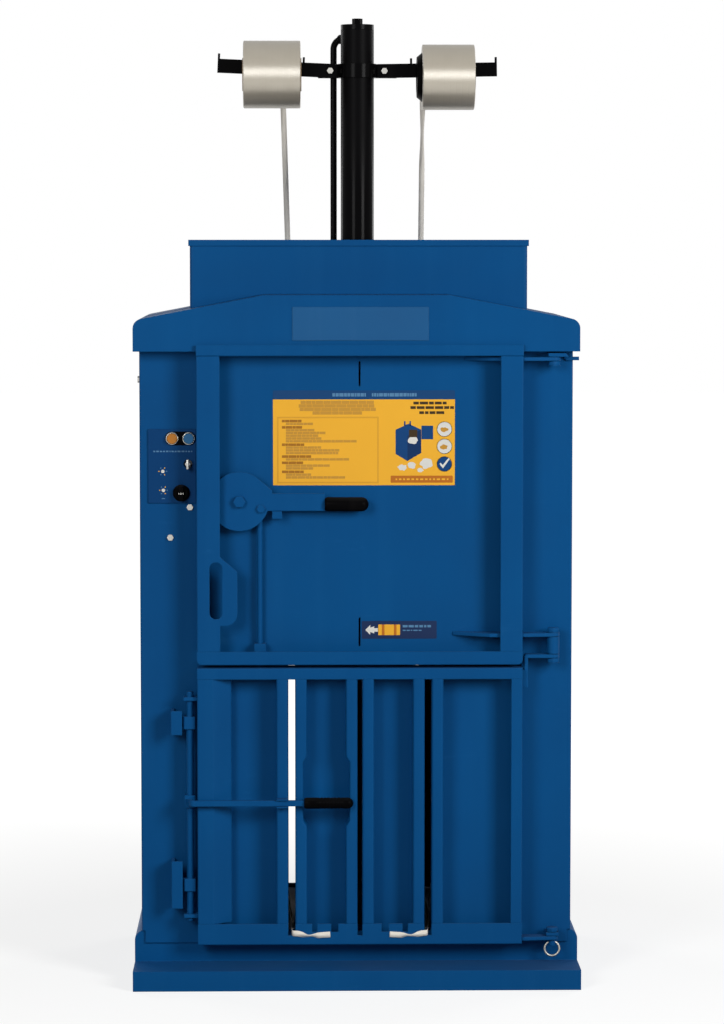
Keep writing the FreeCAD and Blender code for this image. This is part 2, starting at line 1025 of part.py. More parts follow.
def tape_end(side):
    """Loose end of a tape, out through the door slot and along the bottom rail."""
    x = tape_front_x(side)
    out = door_front - off_surface()
    path = [(x, meeting_y()), (x, out, tape_end_bend), (x - side * tape_end_reach, out)]
    half = tape_thickness / 2
    low = tape_end_height - tape_width / 2
    return plan_prism(band(path, half, half), low, low + tape_width)


def tape_guide_bar():
    """Round bar behind the housing that turns both tapes down."""
    left = press_x - guide_bar_length / 2
    right = left + guide_bar_length
    start = Vector(left, guide_bar_y(), guide_bar_z)
    bar = round_bar(guide_bar_diameter / 2, start, RIGHTWARD, guide_bar_length)
    low = guide_bar_z - guide_bar_diameter
    high = guide_bar_z + guide_bar_diameter / 2
    back = guide_bar_y() + guide_plate
    for x in (left - guide_plate, right):
        bar = bar.fuse(block(x, x + guide_plate, housing_back_y, back, low, high))
    return bar.removeSplitter()


# ---- Hinges

def hinge_eye(shape, bottom, height, bore):
    start = Vector(hinge_x, hinge_y, bottom)
    shape = shape.fuse(round_bar(eye_radius, start, UP, height))
    return shape.cut(round_bar(bore, start, UP, height)).removeSplitter()


def door_arm(bottom, reach):
    """Horizontal arm plate: tapered inside the door, with the pin's eye outside it."""
    tip = hinge_x - reach
    outer = door_right + arm_edge_gap
    inner = door_right - frame_sheet - arm_inset
    corners = [
        (tip, sheet_front),
        (tip + arm_taper, flange_back + arm_edge_gap),
        (outer, flange_back + arm_edge_gap),
        (hinge_x, hinge_y - eye_radius),
        (hinge_x, hinge_y + eye_radius),
        (inner, hinge_y + eye_radius),
        (inner, sheet_front),
    ]
    plate = plan_prism(corners, bottom, bottom + arm_plate)
    return hinge_eye(plate, bottom, arm_plate, eye_bore)


def bale_door_upper_arm():
    """Lug up the door's edge that carries the arm to the shared middle pin."""
    foot = door_right
    lug_in = door_right + lug_step
    lug_out = lug_in + arm_plate
    top = bale_arm_z + arm_plate
    shoulder = bale_top - frame_sheet
    corners = [
        (foot, shoulder - lug_foot),
        (lug_out, shoulder - lug_foot),
        (lug_out, bale_arm_z),
        (hinge_x, bale_arm_z),
        (hinge_x, top),
        (lug_in, top, lug_corner),
        (lug_in, shoulder),
        (foot, shoulder),
    ]
    half = eye_radius
    lug = front_prism(corners, hinge_y - half, hinge_y + half)
    return hinge_eye(lug, bale_arm_z, arm_plate, eye_bore)


def middle_knuckle():
    """Fixed knuckle between the two doors' arms, welded to the right column."""
    bottom = bale_arm_z + arm_plate + washer_gap
    height = mid_arm_z - washer_gap - bottom
    half = knuckle_web / 2
    web = block(hinge_x - half, hinge_x + half, hinge_y, body_front, bottom, bottom + height)
    return hinge_eye(web, bottom, height, pin_radius)


def top_bracket():
    """Joggled plate that holds the top pin, relieved for the arm of a fully opened door."""
    low = top_arm_z
    high = top_arm_z + arm_plate + washer_gap
    step = hinge_x + eye_radius + bracket_step
    end = right_side + bracket_overhang
    path = [(hinge_x - eye_radius, high), (step, high), (step + bracket_step, low), (end, low)]
    plate = front_prism(band(path, 0, arm_plate), hinge_y - eye_radius, body_front)
    swung_edge = 2 * hinge_y - (flange_back + arm_edge_gap)
    relief = swung_edge + washer_gap
    plate = plate.cut(block(hinge_x - eye_radius, end, hinge_y - eye_radius, relief, low, high))
    bore = round_bar(pin_radius, Vector(hinge_x, hinge_y, low), UP, 2 * arm_plate + washer_gap)
    return plate.cut(bore)


def bottom_bracket():
    """Plate on the column's skirt above the lowest arm."""
    bottom = bottom_arm_z + arm_plate + washer_gap
    top = bottom + arm_plate
    side = eye_radius
    plate = block(hinge_x - side, hinge_x + side, hinge_y - side, body_front, bottom, top)
    return plate.cut(round_bar(pin_radius, Vector(hinge_x, hinge_y, bottom), UP, arm_plate))


def hinge_pin(low, high):
    return round_bar(pin_radius, Vector(hinge_x, hinge_y, low), UP, high - low)


def hinge_nut(bottom):
    return hexagon(nut_across_flats, Vector(hinge_x, hinge_y, bottom), UP, nut_height)


def hinge_pins():
    """Top, middle and bottom pins with their nuts and heads, and the ring in the bottom pin."""
    bracket_top = top_arm_z + 2 * arm_plate + washer_gap
    top_nut = top_arm_z - washer_gap - nut_height
    top = hinge_pin(top_nut, bracket_top).fuse(hinge_nut(top_nut))
    mid_head = mid_arm_z + arm_plate + washer_gap
    mid_nut = bale_arm_z - washer_gap - nut_height
    mid = hinge_pin(mid_nut, mid_head).fuse(hinge_nut(mid_head)).fuse(hinge_nut(mid_nut))
    low_head = bottom_arm_z + 2 * arm_plate + washer_gap
    low_end = ring_z + ring_radius - nut_height
    low = hinge_pin(low_end, low_head).fuse(hinge_nut(low_head))
    low = low.cut(retaining_ring())
    return [top.removeSplitter(), mid.removeSplitter(), low, retaining_ring()]


def retaining_ring():
    """Spring ring of square wire, bent in flats, through the foot of the bottom pin."""
    rims = []
    for radius in (ring_radius + ring_wire / 2, ring_radius - ring_wire / 2):
        corners = []
        for index in range(ring_flats):
            turn = math.tau * (index + 0.5) / ring_flats
            corners.append((hinge_x + radius * math.cos(turn), ring_z + radius * math.sin(turn)))
        rims.append(front_prism(corners, hinge_y - ring_wire / 2, hinge_y + ring_wire / 2))
    return rims[0].cut(rims[1])


# ---- Feed door

def feed_top_rail_part():
    """Angle along the door's top: its flange laps over the hood's lower edge."""
    path = [(door_front, feed_top), (door_front, feed_rail_z), (door_back, feed_rail_z)]
    return side_prism(folded(path, frame_sheet, fold_radius), door_left, door_right)


def feed_bottom_rail_part():
    """Angle along the door's foot with rounded lower corners and a slot for the lift rod."""
    top = feed_bottom + feed_bottom_rail
    path = [(door_front, top), (door_front, feed_bottom), (door_back, feed_bottom)]
    rail = side_prism(folded(path, frame_sheet, fold_radius), door_left, door_right)
    face = [
        (door_left, feed_bottom, feed_corner_radius),
        (door_right, feed_bottom, feed_corner_radius),
        (door_right, top),
        (door_left, top),
    ]
    rail = rail.common(front_prism(face, door_front, door_back))
    return rail.cut(rod_way(feed_bottom))


def rod_way(bottom):
    """Square hole through a rail's return round the lift rod."""
    half = rod_diameter / 2 + rod_hole_clearance
    x, y = rod_x(), rod_y()
    return block(x - half, x + half, y - half, y + half, bottom, bottom + frame_sheet)


def stile(edge, width, bottom, top):
    """Angle up one side of a door: flange in front, return to the back."""
    inward = math.copysign(1, press_x - edge)
    path = [(edge + inward * width, door_front), (edge, door_front), (edge, door_back)]
    return plan_prism(folded(path, frame_sheet, fold_radius), bottom, top)


def feed_left_stile_part():
    """Left stile with the grab handle: a bulge in the flange round a hand slot."""
    bottom = feed_bottom + feed_bottom_rail
    angle = stile(door_left, feed_left_stile, bottom, feed_rail_z)
    edge = door_left + feed_left_stile
    slot_right = edge + grab_slot_step
    grip_right = slot_right + grab_grip_width
    bulge = [
        (edge - grab_root, grab_bottom),
        (grip_right, grab_bottom, grab_corner),
        (grip_right, grab_top - grab_slope, grab_shoulder),
        (edge, grab_top),
        (edge - grab_root, grab_top),
    ]
    angle = angle.fuse(front_prism(bulge, door_front, flange_back)).removeSplitter()
    end = grab_slot_width / 2 * slot_end_share
    slot_left = slot_right - grab_slot_width
    top = grab_slot_bottom + grab_slot_length
    slot = [
        (slot_left, grab_slot_bottom, end),
        (slot_right, grab_slot_bottom, end),
        (slot_right, top, end),
        (slot_left, top, end),
    ]
    return angle.cut(front_prism(slot, door_front, flange_back))


def feed_right_stile_part():
    """Right stile, slotted where the hinge arms pass through its return."""
    bottom = feed_bottom + feed_bottom_rail
    angle = stile(door_right, feed_right_stile, bottom, feed_rail_z)
    for level in (top_arm_z, mid_arm_z):
        notch = block(
            door_right - frame_sheet,
            door_right,
            flange_back + arm_edge_gap,
            hinge_y + eye_radius,
            level,
            level + arm_plate,
        )
        angle = angle.cut(notch)
    return angle


def feed_panel():
    """Recessed panel with a short slit at its top and foot in line with the middle slot."""
    left = door_left + frame_sheet
    right = door_right - frame_sheet
    panel = block(left, right, sheet_front, door_back, feed_bottom + frame_sheet, feed_rail_z)
    left = press_x - slit_width / 2
    right = press_x + slit_width / 2
    upper = feed_rail_z - slit_margin
    lower = feed_bottom + feed_bottom_rail + slit_margin / 2
    for low, high in ((upper - upper_slit_height, upper), (lower, lower + lower_slit_height)):
        panel = panel.cut(block(left, right, sheet_front, door_back, low, high))
    return panel


# ---- Feed latch

def rod_x():
    return latch_x + latch_rod_offset


def latch_pin_point():
    return Vector(latch_x + latch_pin_x, latch_plate_y(), latch_z + latch_pin_z)


def latch_plate_y():
    return door_front + latch_plate_front


def rod_y():
    """Middle of the lift rod, just behind the latch plate."""
    return latch_plate_y() + latch_plate + rod_gap + rod_diameter / 2


def latch_lever():
    """Disc, web and lever arm cut from one plate, with a tang for the grip and a crank pin."""
    front = latch_plate_y()
    back = front + latch_plate
    arm_bottom = latch_arm_top - latch_arm_height
    tang_mid = latch_grip_z()
    tang_end = latch_arm_end + latch_tang_length
    start = Vector(latch_x, front, latch_z)
    plate = round_bar(latch_disc_radius, start, BACKWARD, latch_plate)
    lean = math.radians(latch_web_lean_deg)
    arm = [
        (latch_x, arm_bottom),
        (latch_arm_end, arm_bottom),
        (latch_arm_end, tang_mid - latch_tang_height / 2),
        (tang_end, tang_mid - latch_tang_height / 2),
        (tang_end, tang_mid + latch_tang_height / 2),
        (latch_arm_end, tang_mid + latch_tang_height / 2),
        (latch_arm_end, latch_arm_top),
        (latch_web_x, latch_arm_top),
        (latch_web_x, latch_arm_top + latch_web_rise),
        (latch_x + latch_disc_radius * math.cos(lean), latch_z + latch_disc_radius * math.sin(lean)),
        (latch_x, latch_z),
    ]
    plate = plate.fuse(front_prism(arm, front, back))
    bore = latch_stud_diameter / 2 + running_clearance
    plate = plate.cut(round_bar(bore, start, BACKWARD, latch_plate))
    return plate.fuse(latch_crank_pin()).removeSplitter()


def latch_grip_z():
    return latch_arm_top - latch_arm_height / 2 - latch_grip_drop


def turned_grip(start, length, diameter):
    """Round grip with a chamfered end."""
    radius = diameter / 2
    edge = radius * grip_chamfer_share
    profile = [(0, 0), (0, radius), (length - edge, radius), (length, radius - edge), (length, 0)]
    face = Part.Face(outline(profile, in_front_view))
    grip = face.revolve(Vector(0, 0, 0), RIGHTWARD, 360)
    grip.translate(start)
    return grip


def latch_grip():
    """Black moulded grip pushed over the lever's tang."""
    middle = latch_grip_z()
    front = latch_plate_y()
    start = Vector(latch_arm_end, front + latch_plate / 2, middle)
    grip = turned_grip(start, latch_grip_length, latch_grip_diameter)
    half = latch_tang_height / 2
    end = latch_arm_end + latch_tang_length
    return grip.cut(block(latch_arm_end, end, front, front + latch_plate, middle - half, middle + half))


def latch_crank_pin():
    """Pin of the disc that lifts the rod, with its head in front."""
    start = latch_pin_point()
    reach = rod_y() + rod_plate / 2 + rod_gap - start.y
    shank = round_bar(latch_pin_diameter / 2, start, BACKWARD, reach)
    return shank.fuse(hexagon(latch_pin_head, start, FORWARD, bolt_head))


def latch_pivot():
    """Turned stud on the panel that the disc turns on, with a nut in front."""
    back = latch_plate_y() + latch_plate + washer_gap
    centre = Vector(latch_x, sheet_front, latch_z)
    boss = hexagon(latch_boss_width, centre, FORWARD, sheet_front - back)
    front = latch_plate_y() - washer_gap
    shank = round_bar(latch_stud_diameter / 2, centre, FORWARD, sheet_front - front)
    nut = hexagon(nut_across_flats, Vector(latch_x, front, latch_z), FORWARD, nut_height)
    return boss.fuse(shank).fuse(nut).removeSplitter()


def latch_stop():
    """Block on the panel that the lever rests on."""
    top = latch_arm_top - latch_arm_height - stop_gap
    return block(
        latch_web_x,
        latch_web_x + stop_width,
        latch_plate_y() - stop_proud,
        sheet_front,
        top - stop_height,
        top,
    )


def lift_rod():
    """Rod that locks the feed door to the bale door, with a slotted eye for the crank pin."""
    front = rod_y() - rod_plate / 2
    eye = front_prism(rod_eye_outline(rod_eye_wall), front, front + rod_plate)
    eye = eye.cut(front_prism(rod_eye_outline(0), front, front + rod_plate))
    top = latch_z + latch_pin_z - rod_slot_height / 2 - rod_eye_wall
    rod = round_bar(rod_diameter / 2, Vector(rod_x(), rod_y(), rod_tip_z), UP, top - rod_tip_z)
    return eye.fuse(rod).removeSplitter()


def rod_eye_outline(wall):
    """Slot for the crank pin, or the plate a wall's width round it."""
    half = rod_slot_width / 2 + wall
    tall = rod_slot_height / 2 + wall
    middle = latch_z + latch_pin_z
    x = rod_x()
    low, high = middle - tall, middle + tall
    return [(x - half, low), (x + half, low), (x + half, high), (x - half, high)]


def rod_guide():
    """Bored block at the door's foot that the rod slides in."""
    half = rod_guide_width / 2
    guide = block(
        rod_x() - half,
        rod_x() + half,
        rod_y() - rod_diameter / 2 - rod_guide_wall,
        sheet_front,
        rod_guide_bottom,
        rod_guide_bottom + rod_guide_height,
    )
    bore = rod_diameter / 2 + running_clearance
    return guide.cut(round_bar(bore, Vector(rod_x(), rod_y(), rod_guide_bottom), UP, rod_guide_height))


# ---- Bale door

def bale_top_rail_part():
    """Angle along the top: the lift rod drops into the hole in its return."""
    low = bale_top - bale_top_rail
    path = [(door_back, bale_top), (door_front, bale_top), (door_front, low)]
    rail = side_prism(folded(path, frame_sheet, fold_radius), door_left, door_right)
    return rail.cut(rod_way(bale_top - frame_sheet))


def bale_bottom_rail_part():
    """Angle along the foot, notched at each slot and beside it to hold the tape ends."""
    top = bale_bottom + bale_bottom_rail
    path = [(door_front, top), (door_front, bale_bottom), (door_back, bale_bottom)]
    rail = side_prism(folded(path, frame_sheet, fold_radius), door_left, door_right)
    for centre, width in zip(slot_centres, slot_widths):
        half = width / 2
        rail = rail.cut(block(centre - half, centre + half, door_front, flange_back, slot_foot, top))
    for side, centre in ((1, slot_centres[0]), (-1, slot_centres[2])):
        for near, wide in tape_notches:
            low, high = sorted((centre + side * near, centre + side * (near + wide)))
            foot = slot_foot + tape_notch_rise
            rail = rail.cut(block(low, high, door_front, flange_back, foot, top))
    return rail


def bale_left_plate():
    """Folded plate at the lock side: flat edge, gentle slope and a return to the door sheet."""
    bottom = bale_bottom + bale_bottom_rail
    top = bale_top - bale_top_rail
    path = [
        (door_left, door_back),
        (door_left, door_front),
        (door_left + left_plate_flat, door_front),
        (door_left + left_plate_width, door_front + left_plate_fall),
        (door_left + left_plate_width, sheet_front),
    ]
    return plan_prism(folded(path, frame_sheet, fold_radius), bottom, top)


def bale_right_stile_part():
    bottom = bale_bottom + bale_bottom_rail
    return stile(door_right, bale_right_stile, bottom, bale_top - bale_top_rail)


def bale_sheet():
    """Sheet behind the bars with the three tape slots."""
    left = door_left + frame_sheet
    right = door_right - frame_sheet
    low = bale_bottom + frame_sheet
    sheet = block(left, right, sheet_front, door_back, low, bale_top - frame_sheet)
    top = bale_top - slot_head_margin
    for centre, width in zip(slot_centres, slot_widths):
        left = centre - width / 2
        sheet = sheet.cut(block(left, left + width, sheet_front, door_back, slot_foot, top))
    return sheet


def slot_bar(index, side):
    """Channel bar beside a tape slot; the two next to the grip are notched for the hand."""
    edge = slot_centres[index] + side * slot_widths[index] / 2
    left, right = sorted((edge, edge + side * bar_width))
    bottom = bale_bottom + bale_bottom_rail
    top = bale_top - bale_top_rail
    path = [(left, sheet_front), (left, door_front), (right, door_front), (right, sheet_front)]
    bar = plan_prism(folded(path, bar_sheet, 0), bottom, top)
    beside_grip = (index, side) in ((0, 1), (1, -1))
    if not beside_grip:
        return bar
    outer = right if side > 0 else left
    inward = -side * hand_notch_depth
    notch = [
        (outer, hand_notch_bottom),
        (outer + inward, hand_notch_bottom + hand_notch_depth),
        (outer + inward, hand_notch_top - hand_notch_depth),
        (outer, hand_notch_top),
        (outer + side, hand_notch_top),
        (outer + side, hand_notch_bottom),
    ]
    return bar.cut(front_prism(notch, door_front, sheet_front - hand_notch_margin))


# ---- Bale door lock

def lock_bearings():
    """Two plates on the door's edge that the lock shaft turns in."""
    plates = []
    bore = lock_shaft_diameter / 2 + running_clearance
    half = lock_shaft_diameter / 2 + lock_bearing_wall
    for level in lock_bearing_levels:
        top = level + lock_bearing_plate
        plate = block(lock_x - half, door_left, lock_y - half, lock_y + half, level, top)
        start = Vector(lock_x, lock_y, level)
        plates.append(plate.cut(round_bar(bore, start, UP, lock_bearing_plate)))
    return plates


def lock_shaft():
    """Upright shaft with its two hooks."""
    length = lock_shaft_top - lock_shaft_bottom
    foot = Vector(lock_x, lock_y, lock_shaft_bottom)
    shaft = round_bar(lock_shaft_diameter / 2, foot, UP, length)
    half = hook_plate / 2
    hub = hook_hub / 2
    corners = [
        (lock_x + hub, lock_y - hub),
        (lock_x + hub, lock_y + hub),
        (lock_x - hub, lock_y + hub),
        (lock_x - hub - half, lock_y + half),
        (lock_x - hook_reach, lock_y + half),
        (lock_x - hook_reach, lock_y - half),
        (lock_x - hub - half, lock_y - half),
        (lock_x - hub, lock_y - hub),
    ]
    for level in hook_levels:
        shaft = shaft.fuse(plan_prism(corners, level, level + hook_height))
    return shaft.removeSplitter()


def lock_lever():
    """Flat lever welded to a boss on the shaft and cranked across the front of the door."""
    front = door_front - lever_standoff - lever_plate / 2
    middle = front + lever_plate / 2
    half_boss = lever_boss_height / 2
    half = hook_hub / 2
    low, high = lever_z - half_boss, lever_z + half_boss
    boss = block(lock_x - half, lock_x + half, lock_y - half, lock_y + half, low, high)
    path = [
        (lock_x - lever_root, lock_y - lever_root_setback),
        (lock_x + lever_root, middle, lever_crank_radius),
        (lever_end + lever_tang, middle),
    ]
    low = lever_z - lever_height / 2
    arm = plan_prism(band(path, lever_plate / 2, lever_plate / 2), low, low + lever_height)
    foot = Vector(lock_x, lock_y, low - half_boss)
    shaft = round_bar(lock_shaft_diameter / 2, foot, UP, 2 * lever_boss_height)
    return boss.fuse(arm).cut(shaft).removeSplitter()


def lock_grip():
    """Black moulded grip over the end of the lever."""
    middle = door_front - lever_standoff
    start = Vector(lever_end, middle, lever_z)
    grip = turned_grip(start, lock_grip_length, lock_grip_diameter)
    half = lever_plate / 2
    low = lever_z - lever_height / 2
    end = lever_end + lever_tang
    return grip.cut(block(lever_end, end, middle - half, middle + half, low, low + lever_height))


def lever_clip():
    """Spring clip on the first bar that holds the lever closed."""
    centre = slot_centres[0] - slot_widths[0] / 2 - bar_width / 2
    reach = door_front - lever_standoff - lever_plate
    half = lever_height / 2 + clip_gap
    outer = half + clip_sheet
    path = [
        (reach, lever_z - half),
        (door_front - clip_sheet, lever_z - half),
        (door_front - clip_sheet, lever_z + half),
        (reach, lever_z + half),
        (reach, lever_z + outer),
        (door_front, lever_z + outer),
        (door_front, lever_z - outer),
        (reach, lever_z - outer),
    ]
    return side_prism(path, centre - clip_width / 2, centre + clip_width / 2)


def lock_keepers():
    """Angle keepers on the left column: each hook's nose closes behind a lip."""
    keepers = []
    nose_front = lock_y - hook_plate / 2
    lip_back = nose_front - keeper_gap
    lip_front = lip_back - keeper_plate
    inner = lock_x - hook_reach + keeper_overlap
    outer = lock_x - hook_reach - keeper_side_gap
    path = [(outer - keeper_plate, body_front), (outer - keeper_plate, lip_front), (inner, lip_front)]
    for bottom, height in keeper_spans:
        keepers.append(plan_prism(folded(path, keeper_plate, keeper_fold), bottom, bottom + height))
    return keepers


# ---- Controls

def panel_front():
    return body_front - panel_sheet


def control_panel():
    """Plate over the column's window with the bores for the rotary switch and the key."""
    right = panel_left + panel_width
    top = panel_bottom + panel_height
    plate = block(panel_left, right, panel_front(), body_front, panel_bottom, top)
    bores = (
        (selector_x, selector_z, selector_shaft / 2 + running_clearance),
        (key_x, key_z, key_plug_diameter / 2 + running_clearance),
    )
    for x, z, radius in bores:
        plate = plate.cut(round_bar(radius, Vector(x, panel_front(), z), BACKWARD, panel_sheet))
    return plate


def button_bezels():
    """Raised plated collar plate round the two push buttons."""
    half = bezel_diameter / 2
    end = half * slot_end_share
    left = min(orange_x, blue_x) - half
    right = max(orange_x, blue_x) + half
    corners = [
        (left, button_z - half, end),
        (right, button_z - half, end),
        (right, button_z + half, end),
        (left, button_z + half, end),
    ]
    collar = front_prism(corners, panel_front() - bezel_height, panel_front())
    for x in (orange_x, blue_x):
        start = Vector(x, panel_front(), button_z)
        collar = collar.cut(round_bar(button_diameter / 2 + button_gap, start, FORWARD, bezel_height))
    return collar


def push_button(x):
    """Button cap inside its collar."""
    front = panel_front() - bezel_height - button_proud
    return round_bar(button_diameter / 2, Vector(x, front, button_z), BACKWARD, button_length)


def selector_knob():
    """Rotary switch: round base, raised finger grip and a shaft in the panel."""
    start = Vector(selector_x, panel_front() - selector_gap, selector_z)
    base = round_bar(selector_diameter / 2, start, FORWARD, selector_height)
    half = selector_grip_width / 2
    reach = selector_diameter / 2 - selector_grip_inset
    front = start.y - selector_height
    x, z = selector_x, selector_z
    handle = block(x - half, x + half, front - selector_grip_height, front, z - reach, z + reach)
    shaft = round_bar(selector_shaft / 2, start, BACKWARD, panel_sheet + selector_gap)
    return base.fuse(handle).fuse(shaft).removeSplitter()


def switch_key():
    """Lock plug with the key's bow standing out of it."""
    start = Vector(key_x, body_front, key_z)
    front = panel_front() - key_plug_proud
    plug = round_bar(key_plug_diameter / 2, start, FORWARD, body_front - front)
    half = key_bow_thickness / 2
    tall = key_bow_height / 2
    bow = block(key_x - half, key_x + half, front - key_bow_width, front, key_z - tall, key_z + tall)
    return plug.fuse(bow).removeSplitter()


def control_box():
    """Sealed box of contactors behind the panel, fixed to the column's side."""
    left = left_side + body_sheet
    right = panel_left + panel_width - panel_margin
    front = body_front + body_sheet + control_box_gap
    top = panel_bottom + panel_height
    return block(left, right, front, front + control_box_depth, panel_bottom, top)


def column_bolts():
    """Three plated bolt heads: two on the column's front, one on its side."""
    bolts = []
    for x, z in panel_bolt_points:
        bolts.append(hexagon(bolt_across_flats, Vector(x, body_front, z), FORWARD, bolt_head))
    side = Vector(left_side, side_bolt_y, side_bolt_z)
    bolts.append(hexagon(bolt_across_flats, side, Vector(-1, 0, 0), bolt_head))
    return bolts


def assembly():
    left_core = left_roll_centre()
    right_core = right_roll_centre()
    return {
        "base_frame": [base_frame()],
        "left_column": [left_column()],
        "right_column": [right_column()],
        "chamber_walls": [chamber_wall(chamber_left, -1), chamber_wall(chamber_right, 1)],
        "chamber_floor": [chamber_floor()],
        "back_wall": [back_wall()],
        "hood": [hood()],
        "crosshead": [crosshead_beam(-1), crosshead_beam(1), cylinder_mount_plate()],
        "housing_shell": [housing_shell()],
        "housing_lid": [housing_lid()],
        "power_pack": [oil_tank(), pump_motor(), valve_block()],
        "cylinder_barrel": [barrel()],
        "cylinder_cap": [barrel_cap()],
        "oil_pipe": [oil_pipe()],
        "piston_rod": [piston_rod()],
        "platen": [platen()],
        "platen_guide_pads": platen_guide_pads(),
        "reel_arms": [reel_arm(-1, left_arm_stop), reel_arm(1, right_arm_stop)],
        "reel_arm_clamp": [reel_arm_clamp()],
        "left_tape_roll": [tape_roll(left_core, left_roll_width, left_roll_diameter)],
        "left_roll_core": [roll_core(left_core, left_roll_width)],
        "right_tape_roll": [tape_roll(right_core, right_roll_width, right_roll_diameter)],
        "right_roll_hub": [flanged_hub(right_core, right_roll_width)],
        "tape_guide_bar": [tape_guide_bar()],
        "left_tape_run": [tape_run(-1, left_core, left_roll_diameter)],
        "right_tape_run": [tape_run(1, right_core, right_roll_diameter)],
        "left_tape_end": [tape_end(-1)],
        "right_tape_end": [tape_end(1)],
        "hinge_brackets": [top_bracket(), middle_knuckle(), bottom_bracket()],
        "hinge_pins": hinge_pins(),
        "feed_door_rails": [feed_top_rail_part(), feed_bottom_rail_part()],
        "feed_left_stile": [feed_left_stile_part()],
        "feed_right_stile": [feed_right_stile_part()],
        "feed_panel": [feed_panel()],
        "feed_hinge_arms": [door_arm(top_arm_z, arm_reach_top), door_arm(mid_arm_z, arm_reach_mid)],
        "feed_latch_lever": [latch_lever()],
        "feed_latch_grip": [latch_grip()],
        "feed_latch_fittings": [latch_pivot(), latch_stop(), rod_guide()],
        "feed_lift_rod": [lift_rod()],
        "bale_door_rails": [bale_top_rail_part(), bale_bottom_rail_part()],
        "bale_left_plate": [bale_left_plate()],
        "bale_right_stile": [bale_right_stile_part()],
        "bale_sheet": [bale_sheet()],
        "bale_slot_bars": [slot_bar(index, side) for index in range(3) for side in (-1, 1)],
        "bale_hinge_arms": [bale_door_upper_arm(), door_arm(bottom_arm_z, arm_reach_bottom)],
        "lever_clip": [lever_clip()],
        "lock_bearings": lock_bearings(),
        "lock_shaft": [lock_shaft()],
        "lock_lever": [lock_lever()],
        "lock_grip": [lock_grip()],
        "lock_keepers": lock_keepers(),
        "control_panel": [control_panel()],
        "button_bezels": [button_bezels()],
        "orange_button": [push_button(orange_x)],
        "blue_button": [push_button(blue_x)],
        "selector_knob": [selector_knob()],
        "switch_key": [switch_key()],
        "control_box": [control_box()],
        "hex_bolts": column_bolts() + reel_arm_bolts(),
    }


def main():
    os.makedirs("parts", exist_ok=True)
    for name, solids in assembly().items():
        shape = solids[0] if len(solids) == 1 else Part.makeCompound(solids)
        shape.exportStep(os.path.join("parts", name + ".step"))


main()
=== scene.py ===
import math
import random

import bmesh
import bpy
from mathutils import Matrix, Vector


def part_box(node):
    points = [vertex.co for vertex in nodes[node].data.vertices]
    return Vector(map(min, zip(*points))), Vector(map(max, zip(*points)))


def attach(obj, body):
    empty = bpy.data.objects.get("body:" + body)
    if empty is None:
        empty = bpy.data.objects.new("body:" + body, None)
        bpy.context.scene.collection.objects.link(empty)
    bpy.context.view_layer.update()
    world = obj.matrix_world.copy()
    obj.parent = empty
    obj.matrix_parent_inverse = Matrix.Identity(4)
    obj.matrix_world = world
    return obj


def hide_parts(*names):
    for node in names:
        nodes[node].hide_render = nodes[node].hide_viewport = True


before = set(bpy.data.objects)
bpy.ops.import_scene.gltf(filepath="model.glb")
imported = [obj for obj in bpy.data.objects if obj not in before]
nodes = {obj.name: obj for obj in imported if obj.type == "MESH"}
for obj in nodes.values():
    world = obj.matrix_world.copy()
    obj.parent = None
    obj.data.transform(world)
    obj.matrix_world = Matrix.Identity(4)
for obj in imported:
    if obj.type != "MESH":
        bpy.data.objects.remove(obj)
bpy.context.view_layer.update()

# ---- Camera
# The machine is seen from the front, a little from its left side, with the lens at the height
# of the housing's lid. The picture is 724 by 1024 and the lens is given for its long side.
picture_height_px = 1024
focal_length_px = 3498
sensor_mm = 36.0
camera_place = (-0.14, -8.018, 1.67)
camera_dip = math.radians(4.45)
camera_turn = math.radians(1.1213)
camera_reach = 200.0

camera_data = bpy.data.cameras.new("camera")
camera_data.sensor_width = sensor_mm
camera_data.lens = sensor_mm * focal_length_px / picture_height_px
camera_data.clip_end = camera_reach
camera = bpy.data.objects.new("camera", camera_data)
camera.location = camera_place
camera.rotation_euler = (math.pi / 2 - camera_dip, 0, -camera_turn)
bpy.context.scene.collection.objects.link(camera)
bpy.context.scene.camera = camera
bpy.context.scene.view_settings.view_transform = "Standard"

# ---- Floor, backdrop and lamps
# A wide pale studio floor under an even white sky, brighter away from the machine. Two soft
# boxes stand in front and above, the right one stronger. Two weaker ones light the back.
floor_reach = 30.0
floor_glow_near = 0.74
floor_glow_far = 1.0
glow_near_reach = 1.0
glow_far_reach = 3.6
floor_colour = (0.4, 0.4, 0.39)
plain_white = (1, 1, 1)
sky_light = 0.06
sky_white = 1.0
lamp_width = 1.6
lamp_height = 2.0
lamp_distance = 4.8
lamp_rise = 1.5
lamp_aim = Vector((0, -0.2, 1.0))
left_turn = math.radians(28)
right_turn = math.radians(40)
rear_turn = math.radians(140)
left_power = 94.0
right_power = 158.0
rear_power = 40.0


def put(tree, socket, value):
    """Link a socket to another one, or give it a plain value or a colour's three numbers."""
    if isinstance(value, bpy.types.NodeSocket):
        tree.links.new(value, socket)
    else:
        socket.default_value = (*value, 1) if socket.type == "RGBA" else value


def add(tree, kind, inputs=None, **settings):
    """New shader node with its settings and inputs."""
    node = tree.nodes.new("ShaderNode" + kind)
    for name, value in settings.items():
        setattr(node, name, value)
    for name, value in (inputs or {}).items():
        put(tree, node.inputs[name], value)
    return node


def in_sight(tree):
    """1 for rays from the camera, from gloss or through glass, otherwise 0."""
    sight = add(tree, "LightPath")
    seen = sight.outputs["Is Camera Ray"]
    for ray in ("Is Glossy Ray", "Is Transmission Ray"):
        seen = add(tree, "Math", {0: seen, 1: sight.outputs[ray]}, operation="MAXIMUM").outputs[0]
    return seen


